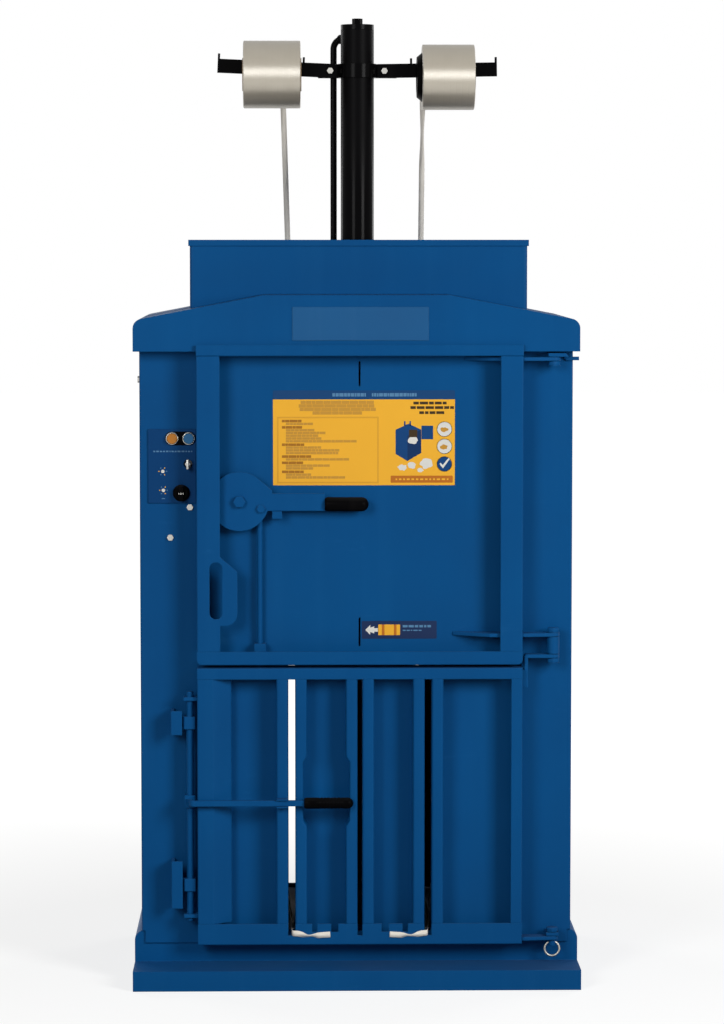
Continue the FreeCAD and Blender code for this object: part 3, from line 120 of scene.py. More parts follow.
floor_mesh = bmesh.new()
bmesh.ops.create_grid(floor_mesh, x_segments=1, y_segments=1, size=floor_reach)
floor_data = bpy.data.meshes.new("studio_floor")
floor_mesh.to_mesh(floor_data)
floor_mesh.free()
studio_floor = bpy.data.objects.new("studio_floor", floor_data)
bpy.context.scene.collection.objects.link(studio_floor)

floor_paint = bpy.data.materials.new("studio_floor_paint")
floor_paint.use_nodes = True
floor_data.materials.append(floor_paint)
tree = floor_paint.node_tree
tree.nodes.clear()
seen = in_sight(tree)
matt = add(tree, "BsdfDiffuse", {"Color": floor_colour})
spot = add(tree, "TexCoord").outputs["Object"]
away = add(tree, "VectorMath", {0: spot}, operation="LENGTH").outputs["Value"]
strength = add(tree, "MapRange", {
    "Value": away, "From Min": glow_near_reach, "From Max": glow_far_reach,
    "To Min": floor_glow_near, "To Max": floor_glow_far}).outputs[0]
glow = add(tree, "Emission", {"Color": plain_white, "Strength": strength})
bright = add(tree, "AddShader", {0: matt.outputs[0], 1: glow.outputs[0]})
either = add(tree, "MixShader", {0: seen, 1: matt.outputs[0], 2: bright.outputs[0]})
add(tree, "OutputMaterial", {"Surface": either.outputs[0]})

sky = bpy.data.worlds.new("studio_sky")
sky.use_nodes = True
bpy.context.scene.world = sky
tree = sky.node_tree
tree.nodes.clear()
seen = in_sight(tree)
level = add(tree, "MapRange", {"Value": seen, "To Min": sky_light, "To Max": sky_white})
even = add(tree, "Background", {"Color": plain_white, "Strength": level.outputs[0]})
add(tree, "OutputWorld", {"Surface": even.outputs[0]})

for side, turn, power in ((-1, left_turn, left_power), (1, right_turn, right_power),
                          (-1, rear_turn, rear_power), (1, rear_turn, rear_power)):
    lamp_data = bpy.data.lights.new("soft_box", "AREA")
    lamp_data.shape = "RECTANGLE"
    lamp_data.size = lamp_width
    lamp_data.size_y = lamp_height
    lamp_data.energy = power
    lamp = bpy.data.objects.new("soft_box", lamp_data)
    away = Vector((side * math.sin(turn), -math.cos(turn), 0)) * lamp_distance
    lamp.location = lamp_aim + away + Vector((0, 0, lamp_rise))
    lamp.rotation_euler = (lamp_aim - lamp.location).to_track_quat("-Z", "Y").to_euler()
    bpy.context.scene.collection.objects.link(lamp)

# ---- Body: base, columns, hood, housing and its lid
# Folded and welded sheet steel, sprayed with one coat of blue enamel. The folds are rounded,
# the enamel has a light orange peel, and dust lies on what faces upwards.
blue_lit = (0.003, 0.078, 0.242)
blue_deep = (0.003, 0.067, 0.212)
blue_rubbed = (0.012, 0.115, 0.3)
dust_colour = (0.25, 0.25, 0.235)
fold_radius = 0.003
fold_seen = (0.97, 0.78)
peel_scale = 420.0
peel_depth = 0.00006
mottle_scale = 3.2
streak_scale = (26.0, 26.0, 1.3)
streak_share = 0.12
speckle_scale = 60.0
scratch_turn = (0.3, 0.5, 0.9)
scratch_scale = (9.0, 150.0, 40.0)
scuff_share = 0.6
dust_slope = (0.45, 0.95)
dust_dulls = 0.25


def mixed(tree, factor, first, second):
    """Colour output between two colours."""
    node = tree.nodes.new("ShaderNodeMix")
    node.data_type = "RGBA"
    for index, value in ((0, factor), (6, first), (7, second)):
        put(tree, node.inputs[index], value)
    return node.outputs[2]


def ranged(tree, value, low, high, to_low=0.0, to_high=1.0):
    """Value output moved from one range to another, and kept inside it."""
    node = add(tree, "MapRange", {
        "Value": value, "From Min": low, "From Max": high, "To Min": to_low, "To Max": to_high})
    return node.outputs[0]


def maths(tree, operation, first, second=0.0):
    """Value output of one operation on two numbers."""
    return add(tree, "Math", {0: first, 1: second}, operation=operation).outputs[0]


def noise(tree, vector, scale, detail):
    """Value output of a noise pattern."""
    node = add(tree, "TexNoise", {"Vector": vector, "Scale": scale, "Detail": detail})
    return node.outputs[0]


finish_wear = bpy.data.node_groups.new("finish_wear", "ShaderNodeTree")
for label in ("Fold Radius", "Grain Scale", "Grain Depth"):
    finish_wear.interface.new_socket(label, in_out="INPUT", socket_type="NodeSocketFloat")
for label in ("Mottle", "Streaks", "Edges", "Dust", "Scuffs"):
    finish_wear.interface.new_socket(label, in_out="OUTPUT", socket_type="NodeSocketFloat")
finish_wear.interface.new_socket("Normal", in_out="OUTPUT", socket_type="NodeSocketVector")
tree = finish_wear
given = tree.nodes.new("NodeGroupInput").outputs
result = tree.nodes.new("NodeGroupOutput").inputs
place = add(tree, "TexCoord").outputs["Object"]
facing = add(tree, "NewGeometry").outputs["Normal"]
clouds = noise(tree, place, mottle_scale, 4.0)
drawn_out = add(tree, "Mapping", {"Vector": place, "Scale": streak_scale})
runs = noise(tree, drawn_out.outputs[0], 1.0, 3.0)
speckle = noise(tree, place, speckle_scale, 5.0)
scratch_way = add(tree, "Mapping", {
    "Vector": place, "Rotation": scratch_turn, "Scale": scratch_scale})
scratches = noise(tree, scratch_way.outputs[0], 1.0, 2.0)
rounded = add(tree, "Bevel", {"Radius": given["Fold Radius"]}, samples=6).outputs[0]
fold_turn = add(tree, "VectorMath", {0: rounded, 1: facing}, operation="DOT_PRODUCT")
edge = ranged(tree, fold_turn.outputs["Value"], *fold_seen)
broken = ranged(tree, speckle, 0.42, 0.62)
upward = add(tree, "SeparateXYZ", {0: facing}).outputs["Z"]
lying = maths(tree, "MULTIPLY", ranged(tree, upward, *dust_slope),
              ranged(tree, clouds, 0.35, 0.7, 0.35, 1.0))
relief = add(tree, "Bump", {
    "Strength": 1.0, "Distance": given["Grain Depth"],
    "Height": noise(tree, place, given["Grain Scale"], 2.0), "Normal": rounded})
put(tree, result["Mottle"], ranged(tree, clouds, 0.3, 0.7))
put(tree, result["Streaks"], ranged(tree, runs, 0.5, 0.8))
put(tree, result["Edges"], maths(tree, "MULTIPLY", edge, broken))
put(tree, result["Dust"], lying)
put(tree, result["Scuffs"], maths(tree, "MULTIPLY", ranged(tree, scratches, 0.68, 0.78), broken))
put(tree, result["Normal"], relief.outputs[0])


def wear_in(tree, fold, grain_scale, grain_depth):
    """Outputs of the wear effect in a material, with its own fold radius and grain."""
    node = tree.nodes.new("ShaderNodeGroup")
    node.node_tree = finish_wear
    for index, value in enumerate((fold, grain_scale, grain_depth)):
        put(tree, node.inputs[index], value)
    return node.outputs


def new_finish(name, **constants):
    """Material with its surface shader, whose plain values are set on its own sockets."""
    material = bpy.data.materials.new(name)
    material.use_nodes = True
    tree = material.node_tree
    shader = tree.nodes["Principled BSDF"]
    for label, value in constants.items():
        put(tree, shader.inputs[label.replace("_", " ").title().replace("Ior", "IOR")], value)
    return material, tree, shader


def worn_finish(name, lit, deep, rubbed, roughness, dust=0.5, wear=0.5, fold=fold_radius,
                grain_scale=peel_scale, grain_depth=peel_depth, **constants):
    """Finish with mottling, streaks, rubbed edges, dust and fine relief."""
    material, tree, shader = new_finish(name, **constants)
    worn = wear_in(tree, fold, grain_scale, grain_depth)
    colour = mixed(tree, worn["Mottle"], lit, deep)
    for mask, share, over in (("Streaks", streak_share, rubbed), ("Edges", wear, rubbed),
                              ("Scuffs", wear * scuff_share, rubbed), ("Dust", dust, dust_colour)):
        colour = mixed(tree, maths(tree, "MULTIPLY", worn[mask], share), colour, over)
    put(tree, shader.inputs["Base Color"], colour)
    dull = ranged(tree, worn["Mottle"], 0.0, 1.0, *roughness)
    dull = maths(tree, "ADD", dull, maths(tree, "MULTIPLY", worn["Dust"], dust_dulls))
    put(tree, shader.inputs["Roughness"], dull)
    put(tree, shader.inputs["Normal"], worn["Normal"])
    return material


def coat(material, *names):
    """Put a finish on nodes of the frame."""
    for name in names:
        for slot in nodes[name].material_slots:
            slot.material = material


blue_enamel = worn_finish(
    "blue_enamel", blue_lit, blue_deep, blue_rubbed, (0.34, 0.46), dust=0.07, wear=0.45,
    specular_ior_level=0.05)
coat(blue_enamel, "base_frame", "left_column", "right_column", "hood", "housing_shell",
     "housing_lid")

# ---- Chamber: liners, floor, rear plate and the crosshead above them
# Sheet and square tube welded into the body, in the same enamel, and scraped by every bale that
# slides over it.
scraped_enamel = worn_finish(
    "scraped_enamel", blue_lit, blue_deep, (0.2, 0.2, 0.19), (0.36, 0.6), wear=0.9,
    specular_ior_level=0.12)
coat(scraped_enamel, "chamber_walls", "chamber_floor", "back_wall", "crosshead", "platen")

# ---- Power pack and contactor box
# Grey enamelled tank, motor and valve block inside the housing, and a moulded box inside the
# left column. Both are closed in.
grey_moulding = worn_finish(
    "grey_moulding", (0.16, 0.165, 0.17), (0.12, 0.125, 0.13), (0.3, 0.3, 0.3),
    (0.4, 0.55), dust=0.6, wear=0.3, grain_scale=900.0, grain_depth=0.00003)
coat(grey_moulding, "power_pack", "control_box")

# ---- Ram: barrel, cap, piston and pads
# Honed steel tube in gloss black with a screwed end cap, wiped clean by hand near its foot and
# dull above. The piston is ground and chromed.
polish_top = 1.93
polish_fade = 0.16
barrel_roughness = (0.1, 0.42)
barrel_mottle = 0.25
black_lit = (0.0013, 0.0012, 0.0015)
black_deep = (0.002, 0.0018, 0.0022)
black_fold = 0.0015
black_grain = 160.0
black_relief = 0.00003

gloss_black = worn_finish(
    "gloss_black", black_lit, black_deep, (0.022, 0.02, 0.018), (0.16, 0.26), dust=0.05,
    wear=0.25, fold=black_fold, grain_scale=black_grain, grain_depth=black_relief, ior=1.1)
coat(gloss_black, "cylinder_cap", "reel_arms", "reel_arm_clamp")
barrel_black, tree, shader = new_finish("barrel_black", ior=1.1)
worn = wear_in(tree, black_fold, black_grain, black_relief)
height = add(tree, "SeparateXYZ", {0: add(tree, "TexCoord").outputs["Object"]}).outputs["Z"]
dulled = ranged(tree, height, polish_top - polish_fade, polish_top)
dulled = maths(tree, "ADD", dulled, maths(tree, "MULTIPLY", worn["Mottle"], barrel_mottle))
put(tree, shader.inputs["Roughness"], ranged(tree, dulled, 0.0, 1.0, *barrel_roughness))
put(tree, shader.inputs["Base Color"], mixed(tree, worn["Mottle"], black_lit, black_deep))
put(tree, shader.inputs["Normal"], worn["Normal"])
coat(barrel_black, "cylinder_barrel")
ground_steel = worn_finish(
    "ground_steel", (0.56, 0.56, 0.57), (0.46, 0.46, 0.47), (0.7, 0.7, 0.7),
    (0.16, 0.28), dust=0.2, wear=0.3, fold=0.001, grain_scale=1500.0, grain_depth=0.00001,
    metallic=1.0)
coat(ground_steel, "piston_rod")
white_nylon = worn_finish(
    "white_nylon", (0.62, 0.6, 0.54), (0.52, 0.5, 0.44), (0.4, 0.38, 0.33),
    (0.4, 0.5), grain_scale=400.0, grain_depth=0.00005)
coat(white_nylon, "platen_guide_pads")

# ---- Oil pipe
# Thin drawn steel pipe, painted gloss black, that rises beside the barrel and turns into it
# near the top with a rounded bend and a union nut.
pipe_radius = 0.0075
pipe_x = -0.047
pipe_y = 0.072
pipe_foot = 1.6
pipe_head = 2.128
pipe_bend = 0.022
pipe_end = (-0.02, 0.056, pipe_head)
union_place = (pipe_x + 0.012, pipe_y - 0.007, pipe_head)
union_axis = (0.86, -0.5, 0)
union_width = 0.019
union_length = 0.01
bend_handle = 0.55
bend_steps = 16
pipe_facets = 6
weld_distance = 1e-6
sharp_angle = math.radians(40)


def finished(name, mesh, material, smooth=True):
    """Object of a mesh in place, with its finish."""
    data = bpy.data.meshes.new(name)
    mesh.to_mesh(data)
    mesh.free()
    piece = bpy.data.objects.new(name, data)
    bpy.context.scene.collection.objects.link(piece)
    for item in material if isinstance(material, list) else [material]:
        data.materials.append(item)
    if smooth:
        data.shade_smooth()
        data.set_sharp_from_angle(angle=sharp_angle)
    return piece


def mesh_of(curve):
    """Mesh of a curve, which is then taken away."""
    holder = bpy.data.objects.new(curve.name, curve)
    made = bpy.data.meshes.new_from_object(holder)
    bpy.data.objects.remove(holder)
    bpy.data.curves.remove(curve)
    return made


def hexagon_head(mesh, centre, axis, across_flats, height, chamfer=0.1):
    """Chamfered hexagon standing on centre along axis."""
    turn = Vector((0, 0, 1)).rotation_difference(Vector(axis))
    seat = Matrix.Translation(Vector(centre)) @ turn.to_matrix().to_4x4()
    seat = seat @ Matrix.Translation((0, 0, height / 2))
    radius = across_flats / math.sqrt(3)
    made = bmesh.ops.create_cone(
        mesh, cap_ends=True, segments=6, radius1=radius, radius2=radius, depth=height, matrix=seat)
    rim = [edge for vert in made["verts"] for edge in vert.link_edges]
    bmesh.ops.bevel(mesh, geom=list(set(rim)), offset=height * chamfer, segments=2,
                    affect="EDGES", profile=0.5, material=-1)


foot = Vector((pipe_x, pipe_y, pipe_foot))
corner = Vector((pipe_x, pipe_y, pipe_head))
end = Vector(pipe_end)
back = (foot - corner).normalized() * pipe_bend
on = (end - corner).normalized() * pipe_bend
straight = Vector()
curve = bpy.data.curves.new("pipe_run", "CURVE")
curve.dimensions = "3D"
curve.bevel_depth = pipe_radius
curve.bevel_resolution = pipe_facets
curve.use_fill_caps = True
curve.resolution_u = bend_steps
spline = curve.splines.new("BEZIER")
spline.bezier_points.add(3)
for knot, (point, before, after) in zip(spline.bezier_points, (
        (foot, straight, straight), (corner + back, straight, -back * bend_handle),
        (corner + on, -on * bend_handle, straight), (end, straight, straight))):
    knot.handle_left_type = knot.handle_right_type = "FREE"
    knot.co = point
    knot.handle_left = point + before
    knot.handle_right = point + after
pipe = bmesh.new()
pipe_mesh = mesh_of(curve)
pipe.from_mesh(pipe_mesh)
bpy.data.meshes.remove(pipe_mesh)
bmesh.ops.remove_doubles(pipe, verts=pipe.verts, dist=weld_distance)
bmesh.ops.recalc_face_normals(pipe, faces=pipe.faces)
hexagon_head(pipe, union_place, union_axis, union_width, union_length)
oil_pipe = finished("steel_oil_pipe", pipe, gloss_black)
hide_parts("oil_pipe")
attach(oil_pipe, "frame")

# ---- Reel arm bolts
# Zinc plated hexagon bolts clamp the two halves of the band on the barrel, and more of them sit
# on the column. The bar behind the housing that turns the tapes down is plated as well.
zinc_plate = worn_finish(
    "zinc_plate", (0.5, 0.49, 0.46), (0.38, 0.37, 0.34), (0.16, 0.12, 0.08),
    (0.26, 0.42), dust=0.25, wear=0.5, fold=0.0008, grain_scale=700.0, grain_depth=0.00002,
    metallic=1.0)
coat(zinc_plate, "tape_guide_bar", "hex_bolts")

# ---- Tape rolls, core and hub
# Woven strapping wound crosswise into a drum. The left one has a card tube inside, the right
# one a black moulded hub with a tapered flange.
roll_bore = 0.0385
roll_edge = 0.004
roll_steps = 96
side_rings = 16
side_wave = 0.0006
winding_pitch = 0.014
winding_gap = 0.06
layer_pitch = 0.0011
groove_depth = 0.0004
fibre_depth = 0.0002
fibre_scale = 1400.0
soil_scale = 28.0
roll_roughness = (0.37, 0.43)
roll_pale = (0.3, 0.262, 0.198)
roll_shade = (0.245, 0.207, 0.15)


def wound_finish(name, axis_y, axis_z):
    """Wound strapping: crossing bands on the drum and fine rings on its ends."""
    material, tree, shader = new_finish(
        name, ior=2.2, specular_ior_level=0.9, specular_tint=(1.0, 0.965, 0.89),
        anisotropic=0.85, anisotropic_rotation=0.25)
    around = add(tree, "Tangent", direction_type="RADIAL", axis="X")
    put(tree, shader.inputs["Tangent"], around.outputs[0])
    place = add(tree, "TexCoord").outputs["Object"]
    part = add(tree, "SeparateXYZ", {0: place})
    y = maths(tree, "SUBTRACT", part.outputs["Y"], axis_y)
    z = maths(tree, "SUBTRACT", part.outputs["Z"], axis_z)
    reach = maths(tree, "SQRT", maths(
        tree, "ADD", maths(tree, "MULTIPLY", y, y), maths(tree, "MULTIPLY", z, z)))
    round_way = maths(tree, "ARCTAN2", z, y)
    slant = maths(tree, "MULTIPLY", round_way, winding_pitch / math.tau)
    lane = maths(tree, "ADD", part.outputs["X"], slant)
    lane = maths(tree, "DIVIDE", lane, winding_pitch)
    step = maths(tree, "PINGPONG", lane, 0.5)
    groove = ranged(tree, step, 0.0, winding_gap)
    turn = maths(tree, "MULTIPLY", reach, math.tau / layer_pitch)
    ring = ranged(tree, maths(tree, "SINE", turn), -1.0, 1.0)
    axial = maths(tree, "ABSOLUTE", add(tree, "SeparateXYZ", {
        0: add(tree, "NewGeometry").outputs["Normal"]}).outputs["X"])
    on_end = ranged(tree, axial, 0.4, 0.6)
    height = add(tree, "Mix", {0: on_end, 2: groove, 3: ring}, data_type="FLOAT").outputs[0]
    soil = noise(tree, place, soil_scale, 4.0)
    tone = ranged(tree, soil, 0.3, 0.7)
    # Painted shade: the colour darkens in the low parts of the relief, the grooves between the
    # crossing bands and the troughs of the end rings.
    dark = maths(tree, "MULTIPLY", ranged(tree, height, 1.0, 0.0), 0.2)
    colour = mixed(tree, maths(tree, "MULTIPLY", tone, 0.3), roll_pale, roll_shade)
    colour = mixed(tree, dark, colour, roll_shade)
    put(tree, shader.inputs["Base Color"], colour)
    put(tree, shader.inputs["Roughness"], ranged(tree, soil, 0.3, 0.7, *roll_roughness))
    coarse = add(tree, "Bump", {"Strength": 0.4, "Distance": groove_depth, "Height": height})
    fine = add(tree, "Bump", {
        "Strength": 0.5, "Distance": fibre_depth, "Height": noise(tree, place, fibre_scale, 2.0),
        "Normal": coarse.outputs[0]})
    put(tree, shader.inputs["Normal"], fine.outputs[0])
    return material


def turned(mesh, profile, centre, axis, steps):
    """Closed section of (length, radius) points turned about an axis through centre."""
    axis = Vector(axis).normalized()
    out = axis.orthogonal().normalized()
    ring = [mesh.verts.new(Vector(centre) + axis * length + out * radius)
            for length, radius in profile]
    edges = [mesh.edges.new((ring[index - 1], ring[index])) for index in range(len(ring))]
    bmesh.ops.spin(mesh, geom=ring + edges, cent=centre, axis=axis, angle=math.tau, steps=steps,
                   use_merge=True, use_duplicate=False)
    bmesh.ops.recalc_face_normals(mesh, faces=mesh.faces)


winding_draw = random.Random(5)
for side in ("left", "right"):
    node = side + "_tape_roll"
    low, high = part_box(node)
    middle = (low + high) / 2
    half = (high.x - low.x) / 2
    outer = (high.z - low.z) / 2
    profile = []
    for end in (-1, 1):
        rings = [roll_bore + (outer - roll_edge - roll_bore) * step / side_rings
                 for step in range(side_rings + 1)]
        if end > 0:
            rings = rings[::-1]
        flat = [(end * (half - winding_draw.random() * side_wave), radius) for radius in rings]
        edge = [(end * (half - roll_edge * (1 - math.sin(turn))),
                 outer - roll_edge * (1 - math.cos(turn)))
                for turn in (math.radians(60), math.radians(30))]
        profile += flat + edge if end < 0 else edge[::-1] + flat
    drum = bmesh.new()
    turned(drum, profile, middle, (1, 0, 0), roll_steps)
    roll = finished(side + "_tape_winding", drum,
                    wound_finish(side + "_wound_tape", middle.y, middle.z))
    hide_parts(node)
    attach(roll, side + "_reel")

brown_card = worn_finish(
    "brown_card", (0.3, 0.2, 0.115), (0.22, 0.145, 0.08), (0.36, 0.27, 0.18),
    (0.75, 0.85), dust=0.2, wear=0.4, fold=0.0006, grain_scale=1600.0, grain_depth=0.00004)
coat(brown_card, "left_roll_core")
black_moulding = worn_finish(
    "black_moulding", (0.0014, 0.0013, 0.0016), (0.0022, 0.002, 0.0024),
    (0.02, 0.018, 0.017), (0.28, 0.4), dust=0.05, wear=0.25, fold=0.001, grain_scale=1300.0,
    grain_depth=0.00002, ior=1.07)
coat(black_moulding, "right_roll_hub")

# ---- Tapes
# Flat woven strapping, 13 mm wide. Each leaves the back of its roll, goes over the guide bar
# behind the housing, down the back and forward along a channel in the chamber's floor.
tape_width = 0.013
tape_thickness = 0.0009
run_points = 40
down_y = 0.32075
bar_top_z = 1.65155
floor_z = 0.11975
rear_y = 0.297
door_plane_y = -0.216
near_bar = 0.008
near_floor = 0.025
turn_in = 0.02
turn_in_share = 0.04
rib_scale = 240.0
rib_depth = 0.0003
tape_pale = (0.96, 0.905, 0.815)
tape_shade = (0.74, 0.68, 0.57)

woven_tape, tree, shader = new_finish("woven_tape", sheen_weight=0.3, specular_ior_level=0.6)
place = add(tree, "TexCoord").outputs["UV"]
ribs = [add(tree, "TexWave", {
    "Vector": place, "Scale": rib_scale, "Distortion": waver, "Detail": 1.0}, wave_type="BANDS",
    bands_direction=way).outputs["Fac"] for way, waver in (("X", 1.2), ("Y", 1.0))]
weave = maths(tree, "MULTIPLY", *ribs)
tone = ranged(tree, noise(tree, place, 25.0, 4.0), 0.35, 0.7)
colour = mixed(tree, maths(tree, "MULTIPLY", tone, 0.3), tape_pale, tape_shade)
# Painted shade: the colour darkens in the hollows between the ribs of the weave.
colour = mixed(tree, ranged(tree, weave, 0.4, 0.0, 0.0, 0.2), colour, tape_shade)
put(tree, shader.inputs["Base Color"], colour)
put(tree, shader.inputs["Roughness"], ranged(tree, tone, 0.0, 1.0, 0.6, 0.8))
relief = add(tree, "Bump", {"Strength": 0.7, "Distance": rib_depth, "Height": weave})
put(tree, shader.inputs["Normal"], relief.outputs[0])


def route_line(points, resolution):
    """Points along the smooth line that a tape takes past its route's points."""
    curve = bpy.data.curves.new("route", "CURVE")
    curve.dimensions = "3D"
    curve.resolution_u = resolution
    spline = curve.splines.new("NURBS")
    spline.points.add(len(points) - 1)
    for knot, point in zip(spline.points, points):
        knot.co = (*point, 1)
    spline.order_u = 3
    spline.use_endpoint_u = True
    made = mesh_of(curve)
    line = [vert.co.copy() for vert in made.vertices]
    bpy.data.meshes.remove(made)
    return line


def tape_along(name, line, across, twist):
    """Band of tape along a line; twist gives its turn at a distance along it."""
    strip = bmesh.new()
    sheet = strip.loops.layers.uv.new("UVMap")
    along = 0.0
    stations = {}
    edge = None
    for index, point in enumerate(line):
        before = line[max(index - 1, 0)]
        after = line[min(index + 1, len(line) - 1)]
        way = (after - before).normalized()
        along += (point - before).length
        flat = Vector(across)
        flat = (flat - way * flat.dot(way)).normalized()
        flat = Matrix.Rotation(twist(along), 3, way) @ flat
        spots = [point + flat * tape_width * share for share in (-0.5, 0.5)]
        if edge is None:
            ends = [strip.verts.new(spot) for spot in spots]
            edge = strip.edges.new(ends)
        else:
            grown = bmesh.ops.extrude_edge_only(strip, edges=[edge])["geom"]
            fresh = [item for item in grown if isinstance(item, bmesh.types.BMVert)]
            edge = [item for item in grown if isinstance(item, bmesh.types.BMEdge)
                    and all(vert in fresh for vert in item.verts)][0]
            ends = [next(vert for vert in fresh if old in
                         [link.other_vert(vert) for link in vert.link_edges]) for old in ends]
            for vert, spot in zip(ends, spots):
                vert.co = spot
        for share, vert in zip((0.0, 1.0), ends):
            stations[vert] = (share * tape_width, along)
    for face in strip.faces:
        for loop in face.loops:
            loop[sheet].uv = stations[loop.vert]
    piece = finished(name, strip, woven_tape)
    thick = piece.modifiers.new("thickness", "SOLIDIFY")
    thick.thickness = tape_thickness
    thick.offset = 0
    return piece


def slight_twist(start, end, turn):
    """Twist that grows and goes back again between two distances along a tape."""
    def at(along):
        share = min(max((along - start) / (end - start), 0.0), 1.0)
        return turn * math.sin(math.pi * share) ** 2
    return at


for side, leave, bar_x, slot_x, twist in (
        ("left", (-0.166, 0.1156, 2.0807), -0.153, -0.1455, slight_twist(0.02, 0.1, 0.0)),
        ("right", (0.16, 0.113, 2.0744), 0.163, 0.1595,
         slight_twist(0.06, 0.3, math.radians(58)))):
    leave = Vector(leave)
    run_low, run_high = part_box(side + "_tape_run")
    tape_x = run_low.x + tape_width / 2 if side == "left" else run_high.x - tape_width / 2
    over = Vector((bar_x, down_y, bar_top_z))
    ahead = (leave - over).normalized() * near_bar
    line = route_line([
        leave,
        over + ahead,
        over,
        over - Vector((0, 0, near_bar)),
        (tape_x, down_y, floor_z + near_floor),
        (tape_x, down_y, floor_z),
        (tape_x, rear_y, floor_z),
        (tape_x + (slot_x - tape_x) * turn_in_share, rear_y - turn_in, floor_z),
        (slot_x, door_plane_y, floor_z)], run_points)
    run = tape_along(side + "_tape", line, (1, 0, 0), twist)
    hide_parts(side + "_tape_run")
    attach(run, "frame")

# ---- Hinges
# Flame cut arms and brackets welded to the doors and the right column, with steel pins, nuts
# and a spring ring at the foot.
hinge_x = 0.44
hinge_y = -0.245
pin_radius = 0.008
pin_chamfer = 0.001
pin_spans = ((1.3915, 1.419), (0.7275, 0.8045), (0.0845, 0.1265))
nut_spots = ((1.391, 0.0008), (0.795, 0.0008), (0.727, 0.001), (0.117, 0.001))
nut_width = 0.024
nut_height = 0.01
washer_radius = 0.0145
washer_thickness = 0.001
ring_height = 0.078
ring_radius = 0.0165
wire_radius = 0.0025
wire_sides = 12

coat(blue_enamel, "hinge_brackets", "feed_hinge_arms", "bale_hinge_arms")
pins = bmesh.new()
for low, high in pin_spans:
    length = high - low
    turned(pins, [(0, pin_chamfer), (0, pin_radius - pin_chamfer), (pin_chamfer, pin_radius),
                  (length - pin_chamfer, pin_radius), (length, pin_radius - pin_chamfer),
                  (length, pin_chamfer)], (hinge_x, hinge_y, low), (0, 0, 1), 32)
for low, washer_drop in nut_spots:
    hexagon_head(pins, (hinge_x, hinge_y, low), (0, 0, 1), nut_width, nut_height)
    turned(pins, [(0, pin_radius), (0, washer_radius), (washer_thickness, washer_radius),
                  (washer_thickness, pin_radius)],
           (hinge_x, hinge_y, low - washer_drop), (0, 0, 1), 32)
pin_set = finished("painted_hinge_pins", pins, blue_enamel)
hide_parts("hinge_pins")
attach(pin_set, "frame")

spring = bmesh.new()
section = [(wire_radius * math.cos(turn), ring_radius + wire_radius * math.sin(turn))
           for turn in (math.tau * step / wire_sides for step in range(wire_sides))]
turned(spring, section, (hinge_x, hinge_y, ring_height), (0, 1, 0), 48)
spring_ring = finished("spring_ring", spring, zinc_plate)
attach(spring_ring, "frame")

# ---- Feed door
# Two folded stiles and two folded rails welded round a recessed sheet. The left stile widens
# into a grab handle with a slot for the fingers.
coat(blue_enamel, "feed_door_rails", "feed_left_stile", "feed_right_stile", "feed_panel")

# ---- Sign and label on the feed door
# Printed vinyl stuck to the recessed sheet: a yellow field with brown rows and drawn shapes
# under a dark heading, and a small dark label with an arrow below it.
panel_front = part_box("feed_panel")[0].y
vinyl_thickness = 0.0004
ink_lift = 0.0001
sign_left = -0.186
sign_right = 0.22
sign_low = 1.123
sign_high = 1.315
heading_high = 1.335
step_across = 0.0022065
step_down = 0.0022588
print_gap = 0.0007
shortest_share = 0.3
paragraph_lines = (1, 5, 3, 1, 2, 2)
line_steps = 2.75
paragraph_steps = 3.45
badge_column = 173.5
badge_radius = 0.016
badge_rim = 0.0172


def vinyl_finish(name, colour, shade):
    """Printed vinyl with a light grain and faint soiling."""
    return worn_finish(name, colour, shade, shade, (0.34, 0.46), dust=0.2, wear=0.15,
                       fold=0.0004, grain_scale=300.0, grain_depth=0.00004,
                       specular_ior_level=0.15)


vinyls = [vinyl_finish(name, colour, shade) for name, colour, shade in (
    ("yellow_vinyl", (0.9, 0.46, 0.038), (0.84, 0.42, 0.034)),
    ("navy_vinyl", (0.008, 0.022, 0.075), (0.01, 0.028, 0.09)),
    ("white_vinyl", (0.78, 0.77, 0.72), (0.66, 0.65, 0.6)),
    ("brown_ink", (0.58, 0.3, 0.045), (0.52, 0.26, 0.04)),
    ("sky_ink", (0.004, 0.055, 0.19), (0.004, 0.045, 0.16)),
    ("orange_ink", (0.54, 0.17, 0.02), (0.46, 0.14, 0.016)),
    ("sky_vinyl", (0.1, 0.24, 0.42), (0.08, 0.2, 0.36)),
    ("black_ink", (0.05, 0.03, 0.012), (0.04, 0.025, 0.01)),
    ("deep_ink", (0.003, 0.03, 0.11), (0.003, 0.025, 0.09)),
    ("heading_ink", (0.006, 0.055, 0.17), (0.006, 0.048, 0.15)),
    ("dark_brown", (0.4, 0.17, 0.02), (0.34, 0.14, 0.018)),
    ("border_ink", (0.74, 0.37, 0.036), (0.68, 0.33, 0.032)))]
(yellow, navy, white, brown, sky_blue, orange, pale_blue, black, deep_blue, heading, dark_brown,
 border) = range(len(vinyls))


def field(mesh, left, right, low, high, front, thickness, corner=0.0, ink=0):
    """Upright plate with rounded corners, its face towards the front."""
    made = bmesh.ops.create_cube(mesh, size=1.0, matrix=Matrix.Translation((
        (left + right) / 2, front + thickness / 2, (low + high) / 2)) @ Matrix.Diagonal((
            right - left, thickness, high - low, 1)))
    verts = made["verts"]
    if corner:
        edges = {edge for vert in verts for edge in vert.link_edges}
        upright = [edge for edge in edges
                   if abs(edge.verts[0].co.y - edge.verts[1].co.y) > thickness / 2]
        made = bmesh.ops.bevel(mesh, geom=upright, offset=corner, segments=5, affect="EDGES",
                               profile=0.5, material=-1)
        verts = list({vert for face in made["faces"] for vert in face.verts})
    for face in {face for vert in verts for face in vert.link_faces}:
        face.material_index = ink


